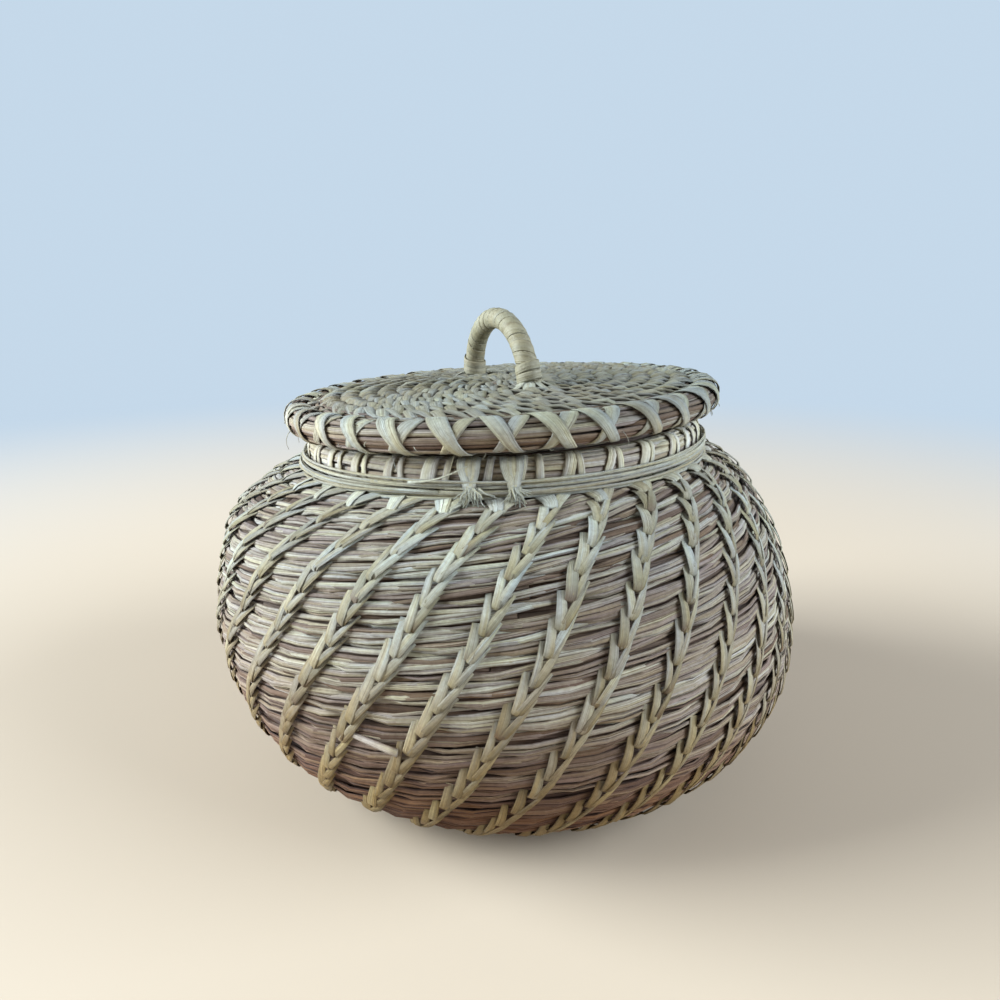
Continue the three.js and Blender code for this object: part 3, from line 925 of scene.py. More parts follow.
def add_bundle_line(strands, bundle, radius, height, tip, tones):
    """Stems laid end to end round the axis, on the side of the bundle that faces one way."""
    random = strands.random
    start = random.uniform(0, FULL_TURN)
    cuts = cut_to_lengths(bundle["stations"] + BUNDLE_SPARE, BUNDLE_LENGTHS, STEM_OVERLAP, random)
    for rings, firsts in cuts.items():
        many = len(firsts)
        station = stations_of(firsts, rings)
        turn = start + FULL_TURN * station / bundle["stations"]
        ends = end_shape(rings, BUNDLE_TUCK)
        out = jitter(random, many, BUNDLE_UNEVEN) - BUNDLE_END_SINK * ends
        drift = wander(random, station.shape, BUNDLE_SWAY, SLOW_WAVES)
        across = radius + out * math.cos(tip) - drift * math.sin(tip)
        up = height + out * math.sin(tip) + drift * math.cos(tip)
        lift = polar(turn, math.cos(tip), math.sin(tip))
        half = between(random, many, bundle["half_width"]) * (1 - BUNDLE_END_THINNING * ends)
        strands.add(polar(turn, across, up), lift, half, bundle["half_depth"], tones(random, many))


def add_bundle(strands, bundle, radius, height, size, tones):
    """A bundle round the axis, of a width and a height: stems on all its sides and a heart painted dark as
    the shade inside it.
    """
    width, tall = np.subtract(size, bundle["inset"])
    for tip in FULL_TURN * np.arange(bundle["lines"]) / bundle["lines"]:
        x, y = rounded_square(tip, BUNDLE_SQUARENESS)
        add_bundle_line(strands, bundle, radius + width / 2 * x, height + tall / 2 * y, tip, tones)
    width, tall = np.subtract(size, bundle["heart_inset"])
    turn = np.linspace(0, FULL_TURN, BUNDLE_HEART_RINGS)[None, :]
    strands.add(polar(turn, radius, height), polar(turn, 0.0, 1.0), width / 2, tall / 2, np.zeros(1))


COLLAR_LIFT = 0.3 * MM
COLLAR_FLATNESS = 0.5
COLLAR_TONES = (0.70, 0.10, 0.35, 0.95)
BINDING_RINGS = 15
BINDING_SQUARENESS = 0.7
BINDING_GAP = 2.0 * MM
BINDING_INSET = (0.2 * MM, 0.1 * MM)
BINDING_NARROWING = 0.12
BINDING_HALF_DEPTH = 0.34 * MM
BINDING_TONES = (0.82, 0.06, 0.6)
BINDING_UNEVEN = {"turn": 0.012, "slant": 0.5 * MM, "place": 0.25 * MM, "width": 0.12}
BINDINGS = (
    {"side": -1, "width": 2.1 * MM, "slant": 1.5 * MM},
    {"side": 1, "width": 1.3 * MM, "slant": 0.2 * MM},
)


def collar_tones(random, how_many):
    """Tones of the neck's stems, which are paler than the wall's."""
    return tones_near(random, how_many, *COLLAR_TONES)


def add_collar_strips(strands, middle):
    """Pairs of strips that loop round the neck bundle."""
    sizes = basket_sizes()
    random = strands.random
    pairs = sizes.collar_pairs
    tip = -math.pi / 2 + FULL_TURN * np.linspace(0, 1, BINDING_RINGS)[None, :]
    x, y = rounded_square(tip, BINDING_SQUARENESS)
    radius = sizes.collar_radius + (sizes.collar_width / 2 - BINDING_INSET[0]) * x
    height = middle + (sizes.collar_height / 2 - BINDING_INSET[1]) * y
    for strip in BINDINGS:
        turn = FULL_TURN * (np.arange(pairs)[:, None] + 0.5) / pairs
        turn = turn + jitter(random, pairs, BINDING_UNEVEN["turn"])
        slant = strip["slant"] + jitter(random, pairs, BINDING_UNEVEN["slant"])
        aside = BINDING_GAP * strip["side"] + slant * y + jitter(random, pairs, BINDING_UNEVEN["place"])
        turn = turn + aside / sizes.collar_radius
        lift = polar(turn, np.cos(tip), np.sin(tip))
        half = strip["width"] * jitter(random, pairs, BINDING_UNEVEN["width"], 1)
        half = half * (1 - BINDING_NARROWING * y)
        tone = tones_near(random, pairs, *BINDING_TONES)
        strands.add(polar(turn, radius, height), lift, half, BINDING_HALF_DEPTH, tone)


class BASKET_OT_neck_collar(bpy.types.Operator):
    """Bundles the neck collar and binds it with pairs of upright strips"""

    bl_idname = "basket.neck_collar"
    bl_label = "Neck collar"

    def execute(self, context):
        sizes = basket_sizes()
        middle = sizes.collar_height / 2 + COLLAR_LIFT
        size = (sizes.collar_width, sizes.collar_height)
        strands = Strands(SEEDS["collar"], place=neck_place, flatness=COLLAR_FLATNESS)
        add_bundle(strands, COLLAR_BUNDLE, sizes.collar_radius, middle, size, collar_tones)
        add_collar_strips(strands, middle)
        finish_piece(strands, "bound_neck_collar", BASKET, "collar_grass", collar_material(), "neck_collar")
        return {"FINISHED"}


SPLINTS = 3
SPLINT_RINGS = 81
SPLINT_TURNS = 1.05
SPLINT_FLATNESS = 0.6
SPLINT_HALF_WIDTH = (0.38 * MM, 0.72 * MM)
SPLINT_HALF_DEPTH = 0.36 * MM
SPLINT_LIFT = 0.25
SPLINT_TONES = (0.74, 0.07, 0.55)
HOOP_FOOT = 0.3 * MM
HOOP_TALL = 5.6 * MM
HOOP_OFF = (0.8 * MM, 1.9 * MM)
HOOP_RISE = 0.55 * MM
HOOP_SWAY = 0.35 * MM
HOOP_WAVES = 3
HOOP_FAN = (0.35, 0.95)
FAN_DROP = 1.6 * MM
FAN_OUT = 2.0 * MM


def add_splints(strands, inner, first):
    """Splints laid loosely round the neck, one above the other, which fan out at its left side."""
    random = strands.random
    level = (first + np.arange(SPLINTS)[:, None]) / (SPLINTS * len(HOOP_NODES) - 1)
    turn = np.linspace(0, FULL_TURN * SPLINT_TURNS, SPLINT_RINGS)[None, :]
    turn = turn + between(random, SPLINTS, (0, FULL_TURN))
    fan = smooth_step(-np.sin(turn), *HOOP_FAN) * (1 - level)
    height = HOOP_FOOT + HOOP_TALL * level - FAN_DROP * fan
    height = height + wander(random, turn.shape, HOOP_RISE, HOOP_WAVES)
    out = inner + between(random, SPLINTS, HOOP_OFF)
    out = out + wander(random, turn.shape, HOOP_SWAY, HOOP_WAVES) + FAN_OUT * fan
    width = between(random, SPLINTS, SPLINT_HALF_WIDTH)
    tone = tones_near(random, SPLINTS, *SPLINT_TONES)
    strands.add(polar(turn, out, height), polar(turn, 1.0, SPLINT_LIFT), width, SPLINT_HALF_DEPTH, tone)


# The two ties at the front, and how far their strips bulge over the hoop between two places along them
TIE_PLACES = (math.radians(-7.7), math.radians(2.2))
TIE_STARTS = (-2.8 * MM, 1.9 * MM, -0.5 * MM)
TIE_GATHER = 0.75
TIE_GATHERED = (0.15, 0.95)
TIE_TOP = 12.6 * MM
TIE_DROP = 10.5 * MM
TIE_INSIDE = -2.2 * MM
TIE_OVER = (0, 0.18)
TIE_BULGES = ((2.9 * MM, TIE_OVER), (2.1 * MM, (0.4, 0.8)), (-0.6 * MM, (0.9, 1)))
TIE_LIFT = 1.2
TIE_HALF_WIDTH = 1.5 * MM
TIE_NARROWING = 0.25
TIE_HALF_DEPTH = 0.2 * MM
TIE_TONES = (0.74, 0.86)


def add_tie(strands, inner, place):
    """Strips that come over the neck and are knotted over the hoop."""
    share = np.linspace(0, 1, LOOSE_RINGS)[None, :]
    aside = np.array(TIE_STARTS)[:, None] * (1 - TIE_GATHER * smooth_step(share, *TIE_GATHERED))
    turn = place + aside / inner
    over = smooth_step(share, *TIE_OVER)
    out = inner + TIE_INSIDE + sum(bulge * smooth_step(share, *span) for bulge, span in TIE_BULGES)
    path = polar(turn, out, TIE_TOP - TIE_DROP * share)
    width = TIE_HALF_WIDTH * (1 - TIE_NARROWING * share)
    tone = strands.random.uniform(*TIE_TONES, len(TIE_STARTS))
    strands.add(path, polar(turn, over, TIE_LIFT - over), width, TIE_HALF_DEPTH, tone)


FRAY_FIBRES = 30
FRAY_SKEW = 0.15
FRAY_START = 1.0 * MM
FRAY_SPREAD = 2.2 * MM
FRAY_CURVE = 1.5
FRAY_SWAY = 0.5 * MM
FRAY_WAVES = 0.8
FRAY_LENGTH = (3.0 * MM, 9.0 * MM)
FRAY_SHORTER = 2.0 * MM
FRAY_TOP = 4.2 * MM
FRAY_OUT = (2.6 * MM, 3.6 * MM)
FRAY_SPRING = 2.2 * MM
FRAY_LIFT = 0.2
FRAY_HALF_WIDTH = (0.2 * MM, 0.5 * MM)
FRAY_NARROWING = 0.6
FRAY_HALF_DEPTH = 0.13 * MM
FRAY_TONES = (0.9, 1.0)


def add_fray(strands, inner, place):
    """The frayed end of a tie below its knot."""
    random = strands.random
    many = FRAY_FIBRES
    share = np.linspace(0, 1, LOOSE_RINGS)[None, :]
    fray = jitter(random, many, 1.0, FRAY_SKEW)
    spread = fray * (FRAY_START + FRAY_SPREAD * share**FRAY_CURVE)
    turn = place + (spread + wander(random, spread.shape, FRAY_SWAY, FRAY_WAVES)) / inner
    height = FRAY_TOP - (between(random, many, FRAY_LENGTH) - FRAY_SHORTER * np.abs(fray)) * share
    out = inner + between(random, many, FRAY_OUT) + FRAY_SPRING * share
    width = between(random, many, FRAY_HALF_WIDTH) * (1 - FRAY_NARROWING * share)
    tone = random.uniform(*FRAY_TONES, many)
    strands.add(polar(turn, out, height), polar(turn, 1.0, FRAY_LIFT), width, FRAY_HALF_DEPTH, tone)


FIBRE_START = math.radians(-22)
FIBRE_SWEEP = math.radians(14)
FIBRE_FOOT = 5.8 * MM
FIBRE_RISE = 5.4 * MM
FIBRE_BOW = 1.2 * MM
FIBRE_OUT = 3.0 * MM
FIBRE_LIFT = 0.3
FIBRE_HALF_WIDTH = 0.46 * MM
FIBRE_NARROWING = 0.6
FIBRE_HALF_DEPTH = 0.2 * MM


def add_loose_fibre(strands, inner):
    """One pale fibre that has come loose at the front, left of the ties."""
    share = np.linspace(0, 1, LOOSE_RINGS)[None, :]
    bow = FIBRE_BOW * np.sin(math.pi * share)
    turn = FIBRE_START + FIBRE_SWEEP * share
    path = polar(turn, inner + FIBRE_OUT + bow, FIBRE_FOOT + FIBRE_RISE * share - bow)
    width = FIBRE_HALF_WIDTH * (1 - FIBRE_NARROWING * share)
    strands.add(path, polar(turn, 1.0, FIBRE_LIFT), width, FIBRE_HALF_DEPTH, np.ones(1))


class BASKET_OT_hoop(bpy.types.Operator):
    """Ties the loose hoop of splints round the foot of the neck"""

    bl_idname = "basket.hoop"
    bl_label = "Hoop"

    def execute(self, context):
        sizes = basket_sizes()
        inner = sizes.collar_radius + sizes.collar_width / 2
        for i, node in enumerate(HOOP_NODES):
            strands = Strands(SEEDS["hoop"] + i, place=neck_place, flatness=SPLINT_FLATNESS)
            add_splints(strands, inner, SPLINTS * i)
            if i == 1:
                self.tie(strands, inner)
            finish_piece(strands, "loose_" + node, BASKET, "split_grass", strip_material(), node)
        return {"FINISHED"}

    def tie(self, strands, inner):
        """The ties and the loose fibre, which go with the middle splints."""
        for place in TIE_PLACES:
            add_tie(strands, inner, place)
            add_fray(strands, inner, place)
        add_loose_fibre(strands, inner)


# Lid

LID_STATIONS = 40
LID_EYE_TURNS = 0.5
LID_HALF_DEPTH = 2.6 * MM
LID_SUNK = 0.6 * MM
LID_KNOT_DEPTH = 2.2 * MM
DOME_LEVEL = 0.6
DISC_EDGE = 0.4
DISC_SIDES = (20, 55, 90, 125, 160, 215, 250, 290, 325)
DISC_LENGTHS = (14, 20, 26)
DISC_TUCK = 0.1
DISC_UNEVEN = 0.08
DISC_END_SINK = 0.6 * MM
DISC_END_THINNING = 0.4
DISC_FILL = 0.46
DISC_HALF_WIDTH = (0.7 * MM, 1.2 * MM)
DISC_DARKER = 0.06
DISC_HEART_LENGTHS = (17, 25)
DISC_HEART_FILL = 0.48


def disc_height(radius):
    """Top of the lid's disc, a little domed."""
    sizes = lid_sizes()
    return sizes.disc_top + sizes.dome * (DOME_LEVEL - (radius / sizes.disc_radius) ** 2)


def coil_height(radius):
    """Middle of the disc's coil."""
    return disc_height(radius) - LID_HALF_DEPTH - LID_SUNK


class DiscCoil:
    """The flat spiral of the lid's top."""

    def __init__(self):
        sizes = basket_sizes()
        self.pitch = sizes.round_pitch
        self.first = sizes.eye_radius
        self.outer = lid_sizes().disc_radius - DISC_EDGE * self.pitch
        turns = (self.outer - self.first) / self.pitch + 1 + LID_EYE_TURNS
        self.stations = int(turns * LID_STATIONS)
        self.strands = Strands(SEEDS["disc"], place=lid_place)

    def spiral(self, firsts, rings):
        """Angle and radius of the middle of the coil along strands."""
        gone = stations_of(firsts, rings) / LID_STATIONS - LID_EYE_TURNS
        return FULL_TURN * gone, np.minimum(self.first + self.pitch * gone, self.outer)

    def add_stems(self, side):
        """Stems laid end to end along the side of the coil that faces one way."""
        random = self.strands.random
        for rings, firsts in cut_to_lengths(self.stations, DISC_LENGTHS, STEM_OVERLAP, random).items():
            many = len(firsts)
            turn, radius = self.spiral(firsts, rings)
            ends = end_shape(rings, DISC_TUCK)
            tip = math.radians(side) + jitter(random, many, DISC_UNEVEN)
            high = LID_HALF_DEPTH * np.sin(tip) - DISC_END_SINK * ends * np.sign(np.sin(tip))
            radius = radius + DISC_FILL * self.pitch * np.cos(tip)
            radius = radius + wander(random, turn.shape, STEM_SWAY, SLOW_WAVES)
            path = polar(turn, radius, coil_height(radius) + high)
            lift = polar(turn, np.cos(tip), np.sin(tip))
            width = between(random, many, DISC_HALF_WIDTH) * (1 - DISC_END_THINNING * ends)
            tone = stem_tones(random, many) - DISC_DARKER
            self.strands.add(path, lift, width, STEM_THICKNESS, tone)

    def add_heart(self):
        """The heart of the coil, painted dark as the shade between its stems."""
        cuts = cut_to_lengths(self.stations, DISC_HEART_LENGTHS, HEART_OVERLAP, self.strands.random)
        depth = LID_HALF_DEPTH - HEART_CLEAR
        for rings, firsts in cuts.items():
            turn, radius = self.spiral(firsts, rings)
            path, lift = polar(turn, radius, coil_height(radius)), polar(turn, 0.0, 1.0)
            self.strands.add(path, lift, DISC_HEART_FILL * self.pitch, depth, np.zeros(len(firsts)))


class BASKET_OT_lid_disc(bpy.types.Operator):
    """Coils the flat top of the lid"""

    bl_idname = "basket.lid_disc"
    bl_label = "Lid disc"

    def execute(self, context):
        coil = DiscCoil()
        for side in DISC_SIDES:
            coil.add_stems(side)
        coil.add_heart()
        add_knot(coil.strands, np.asarray, coil_height(0), LID_KNOT_DEPTH)
        finish_piece(coil.strands, "coiled_lid_disc", LID, "grass_coil", stem_material(), "lid_disc_coil")
        return {"FINISHED"}


RIM_DARKER = 0.08
DARKEST_RIM = 0.18


def rim_tones(random, how_many):
    """Tones of the rim's stems, which are browner than the wall's."""
    return np.clip(stem_tones(random, how_many) - RIM_DARKER, DARKEST_RIM, 1)


class BASKET_OT_lid_rim(bpy.types.Operator):
    """Bundles the thick rim of the lid"""

    bl_idname = "basket.lid_rim"
    bl_label = "Lid rim"

    def execute(self, context):
        sizes = lid_sizes()
        size = (sizes.rim_width, sizes.rim_tall)
        strands = Strands(SEEDS["rim"], place=lid_place)
        add_bundle(strands, RIM_BUNDLE, sizes.rim_radius, sizes.rim_height, size, rim_tones)
        finish_piece(strands, "bundled_lid_rim", LID, "grass_coil", stem_material(), "lid_rim_coil")
        return {"FINISHED"}


LACING_RINGS = 15
LACING_FROM = math.radians(158)
LACING_SWEEP = math.radians(305)
LACING_ASIDE = 6.2 * MM
LACING_STEEPNESS = 1.9
LACING_INSET = 0.2 * MM
LACING_BROADEST = 1.15
LACING_NARROWING = 0.5
LACING_NARROWED = (0.2, 0.72)
LACING_HALF_DEPTH = 0.24 * MM
LACING_TONES = (0.74, 0.06, 0.5)
LACING_UNEVEN = {"turn": 0.010, "slant": 0.06, "height": 0.1 * MM, "width": 0.10}
LACING_STRIPS = (
    {"side": 1, "width": 2.6 * MM, "over": 0.65 * MM},
    {"side": -1, "width": 2.1 * MM, "over": 0.25 * MM},
)


def add_lacing(strands):
    """Strips slung over the rim, each crossed by another."""
    sizes = lid_sizes()
    random = strands.random
    many = sizes.crosses
    share = np.linspace(0, 1, LACING_RINGS)[None, :]
    tip = LACING_FROM - LACING_SWEEP * share
    x, y = rounded_square(tip, BUNDLE_SQUARENESS)
    aside = LACING_ASIDE * np.sin(np.clip(LACING_STEEPNESS * (share - 0.5), -1, 1) * math.pi / 2)
    waist = LACING_BROADEST - LACING_NARROWING * smooth_step(share, *LACING_NARROWED)
    for strip in LACING_STRIPS:
        turn = FULL_TURN * np.arange(many)[:, None] / many + jitter(random, many, LACING_UNEVEN["turn"])
        slant = strip["side"] * jitter(random, many, LACING_UNEVEN["slant"], 1)
        turn = turn + slant * aside / sizes.rim_radius
        off = strip["over"] - LACING_INSET + jitter(random, many, LACING_UNEVEN["height"])
        radius = sizes.rim_radius + (sizes.rim_width / 2 + off) * x
        height = sizes.rim_height + (sizes.rim_tall / 2 + off) * y
        lift = polar(turn, np.cos(tip), np.sin(tip))
        width = strip["width"] * jitter(random, many, LACING_UNEVEN["width"], 1) * waist
        tone = tones_near(random, many, *LACING_TONES)
        strands.add(polar(turn, radius, height), lift, width, LACING_HALF_DEPTH, tone)


FUZZ_FIBRES = 50
FUZZ_RINGS = 5
FUZZ_TIP = (-1.3, 0.1)
FUZZ_LENGTH = (2 * MM, 6 * MM)
FUZZ_ASIDE = 0.5
FUZZ_DROOP = -0.5
FUZZ_DROOP_SPREAD = 0.6
FUZZ_CURVE = 1.5
FUZZ_OUT = 0.55 * MM
FUZZ_SPRING = 0.35
FUZZ_ARC = 2.4
FUZZ_HALF_WIDTH = (0.09 * MM, 0.2 * MM)
FUZZ_NARROWING = 0.5
FUZZ_HALF_DEPTH = 0.09 * MM
FUZZ_TONES = (0.85, 1.0)


def add_rim_fuzz(strands):
    """Fine loose fibres round the rim."""
    sizes = lid_sizes()
    random = strands.random
    many = FUZZ_FIBRES
    share = np.linspace(0, 1, FUZZ_RINGS)[None, :]
    tip = between(random, many, FUZZ_TIP)
    long = between(random, many, FUZZ_LENGTH)
    turn = between(random, many, (0, FULL_TURN))
    turn = turn + jitter(random, many, FUZZ_ASIDE) * long * share / sizes.rim_radius
    droop = jitter(random, many, FUZZ_DROOP_SPREAD, FUZZ_DROOP) * long * share**FUZZ_CURVE
    out = FUZZ_OUT + FUZZ_SPRING * long * np.sin(FUZZ_ARC * share)
    radius = sizes.rim_radius + (sizes.rim_width / 2 + out) * np.cos(tip)
    height = sizes.rim_height + (sizes.rim_tall / 2 + out) * np.sin(tip) + droop
    lift = polar(turn, np.cos(tip), np.sin(tip))
    width = between(random, many, FUZZ_HALF_WIDTH) * (1 - FUZZ_NARROWING * share)
    tone = random.uniform(*FUZZ_TONES, many)
    strands.add(polar(turn, radius, height), lift, width, FUZZ_HALF_DEPTH, tone)


class BASKET_OT_lid_lacing(bpy.types.Operator):
    """Laces the rim with crossed strips"""

    bl_idname = "basket.lid_lacing"
    bl_label = "Rim lacing"

    def execute(self, context):
        strands = Strands(SEEDS["lacing"], place=lid_place, flatness=STRIP_FLATNESS)
        add_lacing(strands)
        add_rim_fuzz(strands)
        finish_piece(strands, "crossed_rim_lacing", LID, "split_grass", strip_material(), "lid_rim_lacing")
        return {"FINISHED"}


class BASKET_OT_locating_ring(bpy.types.Operator):
    """Bundles the round under the lid that drops into the neck"""

    bl_idname = "basket.locating_ring"
    bl_label = "Locating ring"

    def execute(self, context):
        sizes = lid_sizes()
        size = (sizes.ring_width, sizes.ring_top - sizes.ring_foot)
        middle = (sizes.ring_top + sizes.ring_foot) / 2
        strands = Strands(SEEDS["ring"], sides=HIDDEN_SIDES, place=lid_place)
        add_bundle(strands, RING_BUNDLE, sizes.ring_radius, middle, size, stem_tones)
        node = "lid_locating_ring"
        finish_piece(strands, "bundled_locating_ring", LID, "grass_coil", stem_material(), node)
        return {"FINISHED"}


# Belts of stitches on the lid: first radius, breadth and rows of stitches in each node
LID_BELTS = (
    (9.0 * MM, 7.2 * MM, 1),
    (16.2 * MM, 14.4 * MM, 2),
    (30.6 * MM, 14.4 * MM, 3),
    (45.0 * MM, 36 * MM, 5),
)
LID_ROW_FLATNESS = 0.6
LID_ROW_CLEAR = 1 * MM
LID_STITCH_THICKNESS = 0.5 * MM
LID_STITCH_SCALE = 1.5
LID_STITCH_ROOM = 3.2 * MM
LID_STITCH_PROUD = 0.5 * MM
LID_STITCH_DIP = 0.9 * MM
LID_RELIEF = 1.3 * MM


def add_lid_stitches(strands, middle, turn, pitch, half_gap):
    """Stitches over the rounds of the lid, their prongs outwards."""
    sizes = lid_sizes()
    for prong in PRONGS:
        stitch = Prongs(strands.random, len(middle))
        climb = stitch.climb(pitch)
        radius = middle + climb
        scale = np.minimum(LID_STITCH_SCALE, half_gap * middle / LID_STITCH_ROOM)
        swirl = turn + sizes.swirl * radius + stitch.aside(prong) * scale / radius
        hollow = LID_RELIEF * np.sin(math.pi * climb / pitch) ** 2
        height = disc_height(radius) + stitch.height(LID_STITCH_PROUD, LID_STITCH_DIP) - hollow
        path = polar(swirl, radius, height)
        roll = math.radians(prong["roll"])
        lift = math.cos(roll) * np.array([0, 0, 1.0]) + math.sin(roll) * round_way(swirl)
        strands.add(path, lift, stitch.width(prong) * scale, LID_STITCH_THICKNESS, stitch.tone())


class BASKET_OT_lid_stitches(bpy.types.Operator):
    """Sews the swirling rows of stitches over the lid"""

    bl_idname = "basket.lid_stitches"
    bl_label = "Lid stitches"

    def execute(self, context):
        for group, node in enumerate(LID_ROW_NODES):
            strands = Strands(SEEDS["lid_rows"] + group, place=lid_place, flatness=LID_ROW_FLATNESS)
            for start, breadth, rows in LID_BELTS:
                self.sew_belt(strands, group, start, breadth, rows)
            finish_piece(strands, "sewn_" + node, LID, "split_grass", strip_material(), node)
        return {"FINISHED"}

    def sew_belt(self, strands, group, start, breadth, rows):
        """The stitches of one node's rows in one belt."""
        pitch = basket_sizes().round_pitch
        groups = len(LID_ROW_NODES)
        inner = np.arange(start, start + breadth - LID_ROW_CLEAR, pitch)
        turn = FULL_TURN * (group + np.arange(rows) / rows) / groups
        middle, turn = [grid.ravel()[:, None] for grid in np.meshgrid(inner, turn)]
        middle = middle + pitch * (turn / FULL_TURN - 0.5)
        clear = middle[:, 0] < lid_sizes().disc_radius - LID_ROW_CLEAR
        add_lid_stitches(strands, middle[clear], turn[clear], pitch, math.pi / (groups * rows))


# Handle

ARCH_SAMPLES = 600
HANDLE_LIFT = 0.3 * MM


class Arch:
    """The handle's middle line, from its back foot to its front foot, and the ways across it."""

    def __init__(self):
        sizes = lid_sizes()
        bend = np.linspace(0, math.pi, ARCH_SAMPLES)
        flat = np.stack([sizes.handle_span / 2 * np.cos(bend), sizes.handle_rise * np.sin(bend)], axis=-1)
        steps = np.linalg.norm(np.diff(flat, axis=0), axis=1)
        self.flat = flat
        self.gone = np.concatenate([[0], np.cumsum(steps)])
        self.slope = np.gradient(flat, self.gone, axis=0)
        self.length = self.gone[-1]
        self.run = np.array([-math.sin(sizes.handle_turn), math.cos(sizes.handle_turn), 0])
        self.side = np.array([math.cos(sizes.handle_turn), math.sin(sizes.handle_turn), 0])
        self.foot = np.array([0, sizes.handle_back, sizes.disc_top + HANDLE_LIFT])

    def station(self, distance):
        """Place and outward way at a distance along the arch."""
        middle = read_off(distance, self.gone, self.flat)
        ahead = read_off(distance, self.gone, self.slope)
        ahead /= np.linalg.norm(ahead, axis=-1, keepdims=True)
        up = np.array([0, 0, 1.0])
        place = self.foot + middle[..., :1] * self.run + middle[..., 1:] * up
        return place, ahead[..., 1:] * self.run - ahead[..., :1] * up

    def around(self, distance, tip, off):
        """A point off the middle line, and its way out."""
        place, out = self.station(distance)
        way = np.cos(tip)[..., None] * out + np.sin(tip)[..., None] * self.side
        return place + np.asarray(off)[..., None] * way, way


HANDLE_CORE_RINGS = 41
HANDLE_CORE_TONE = 0.47
WRAP_RINGS = 16
WRAP_STARTS = 2
WRAP_LAP = 0.55
WRAP_HALF_DEPTH = 0.14 * MM
WRAP_TONES = (0.44, 0.47)
WRAP_SLIP = 0.5 * MM
WRAP_SLIP_WAVES = 5
WRAP_RELIEF = 0.04 * MM
WRAP_RELIEF_WAVES = 4
WRAP_UNEVEN = 0.08 * MM
WRAP_UNEVEN_WAVES = 5
LASH_TURNS = 2.2
LASH_RINGS = 34
LASH_FROM = 1.2 * MM
LASH_REACH = 7.0 * MM
LASH_OFF = 0.7 * MM
LASH_HALF_WIDTH = 1.7 * MM
LASH_HALF_DEPTH = 0.2 * MM
LASH_TONE = 0.49

# Strips that spread from a foot of the handle
SPRAY_STRIPS = 6
SPRAY_RINGS = 7
SPRAY_ANGLE = 1.2
SPRAY_UNEVEN = 0.1
SPRAY_START = 2.2 * MM
SPRAY_LENGTH = (5.5 * MM, 10.0 * MM)
SPRAY_RISE = 3.0 * MM
SPRAY_OVER = 1.0 * MM
SPRAY_SINK = 1.2 * MM
SPRAY_LIFT = 0.6
SPRAY_HALF_WIDTH = 1.45 * MM
SPRAY_NARROWING = 0.35
SPRAY_HALF_DEPTH = 0.25 * MM
SPRAY_TONES = (0.64, 0.8)


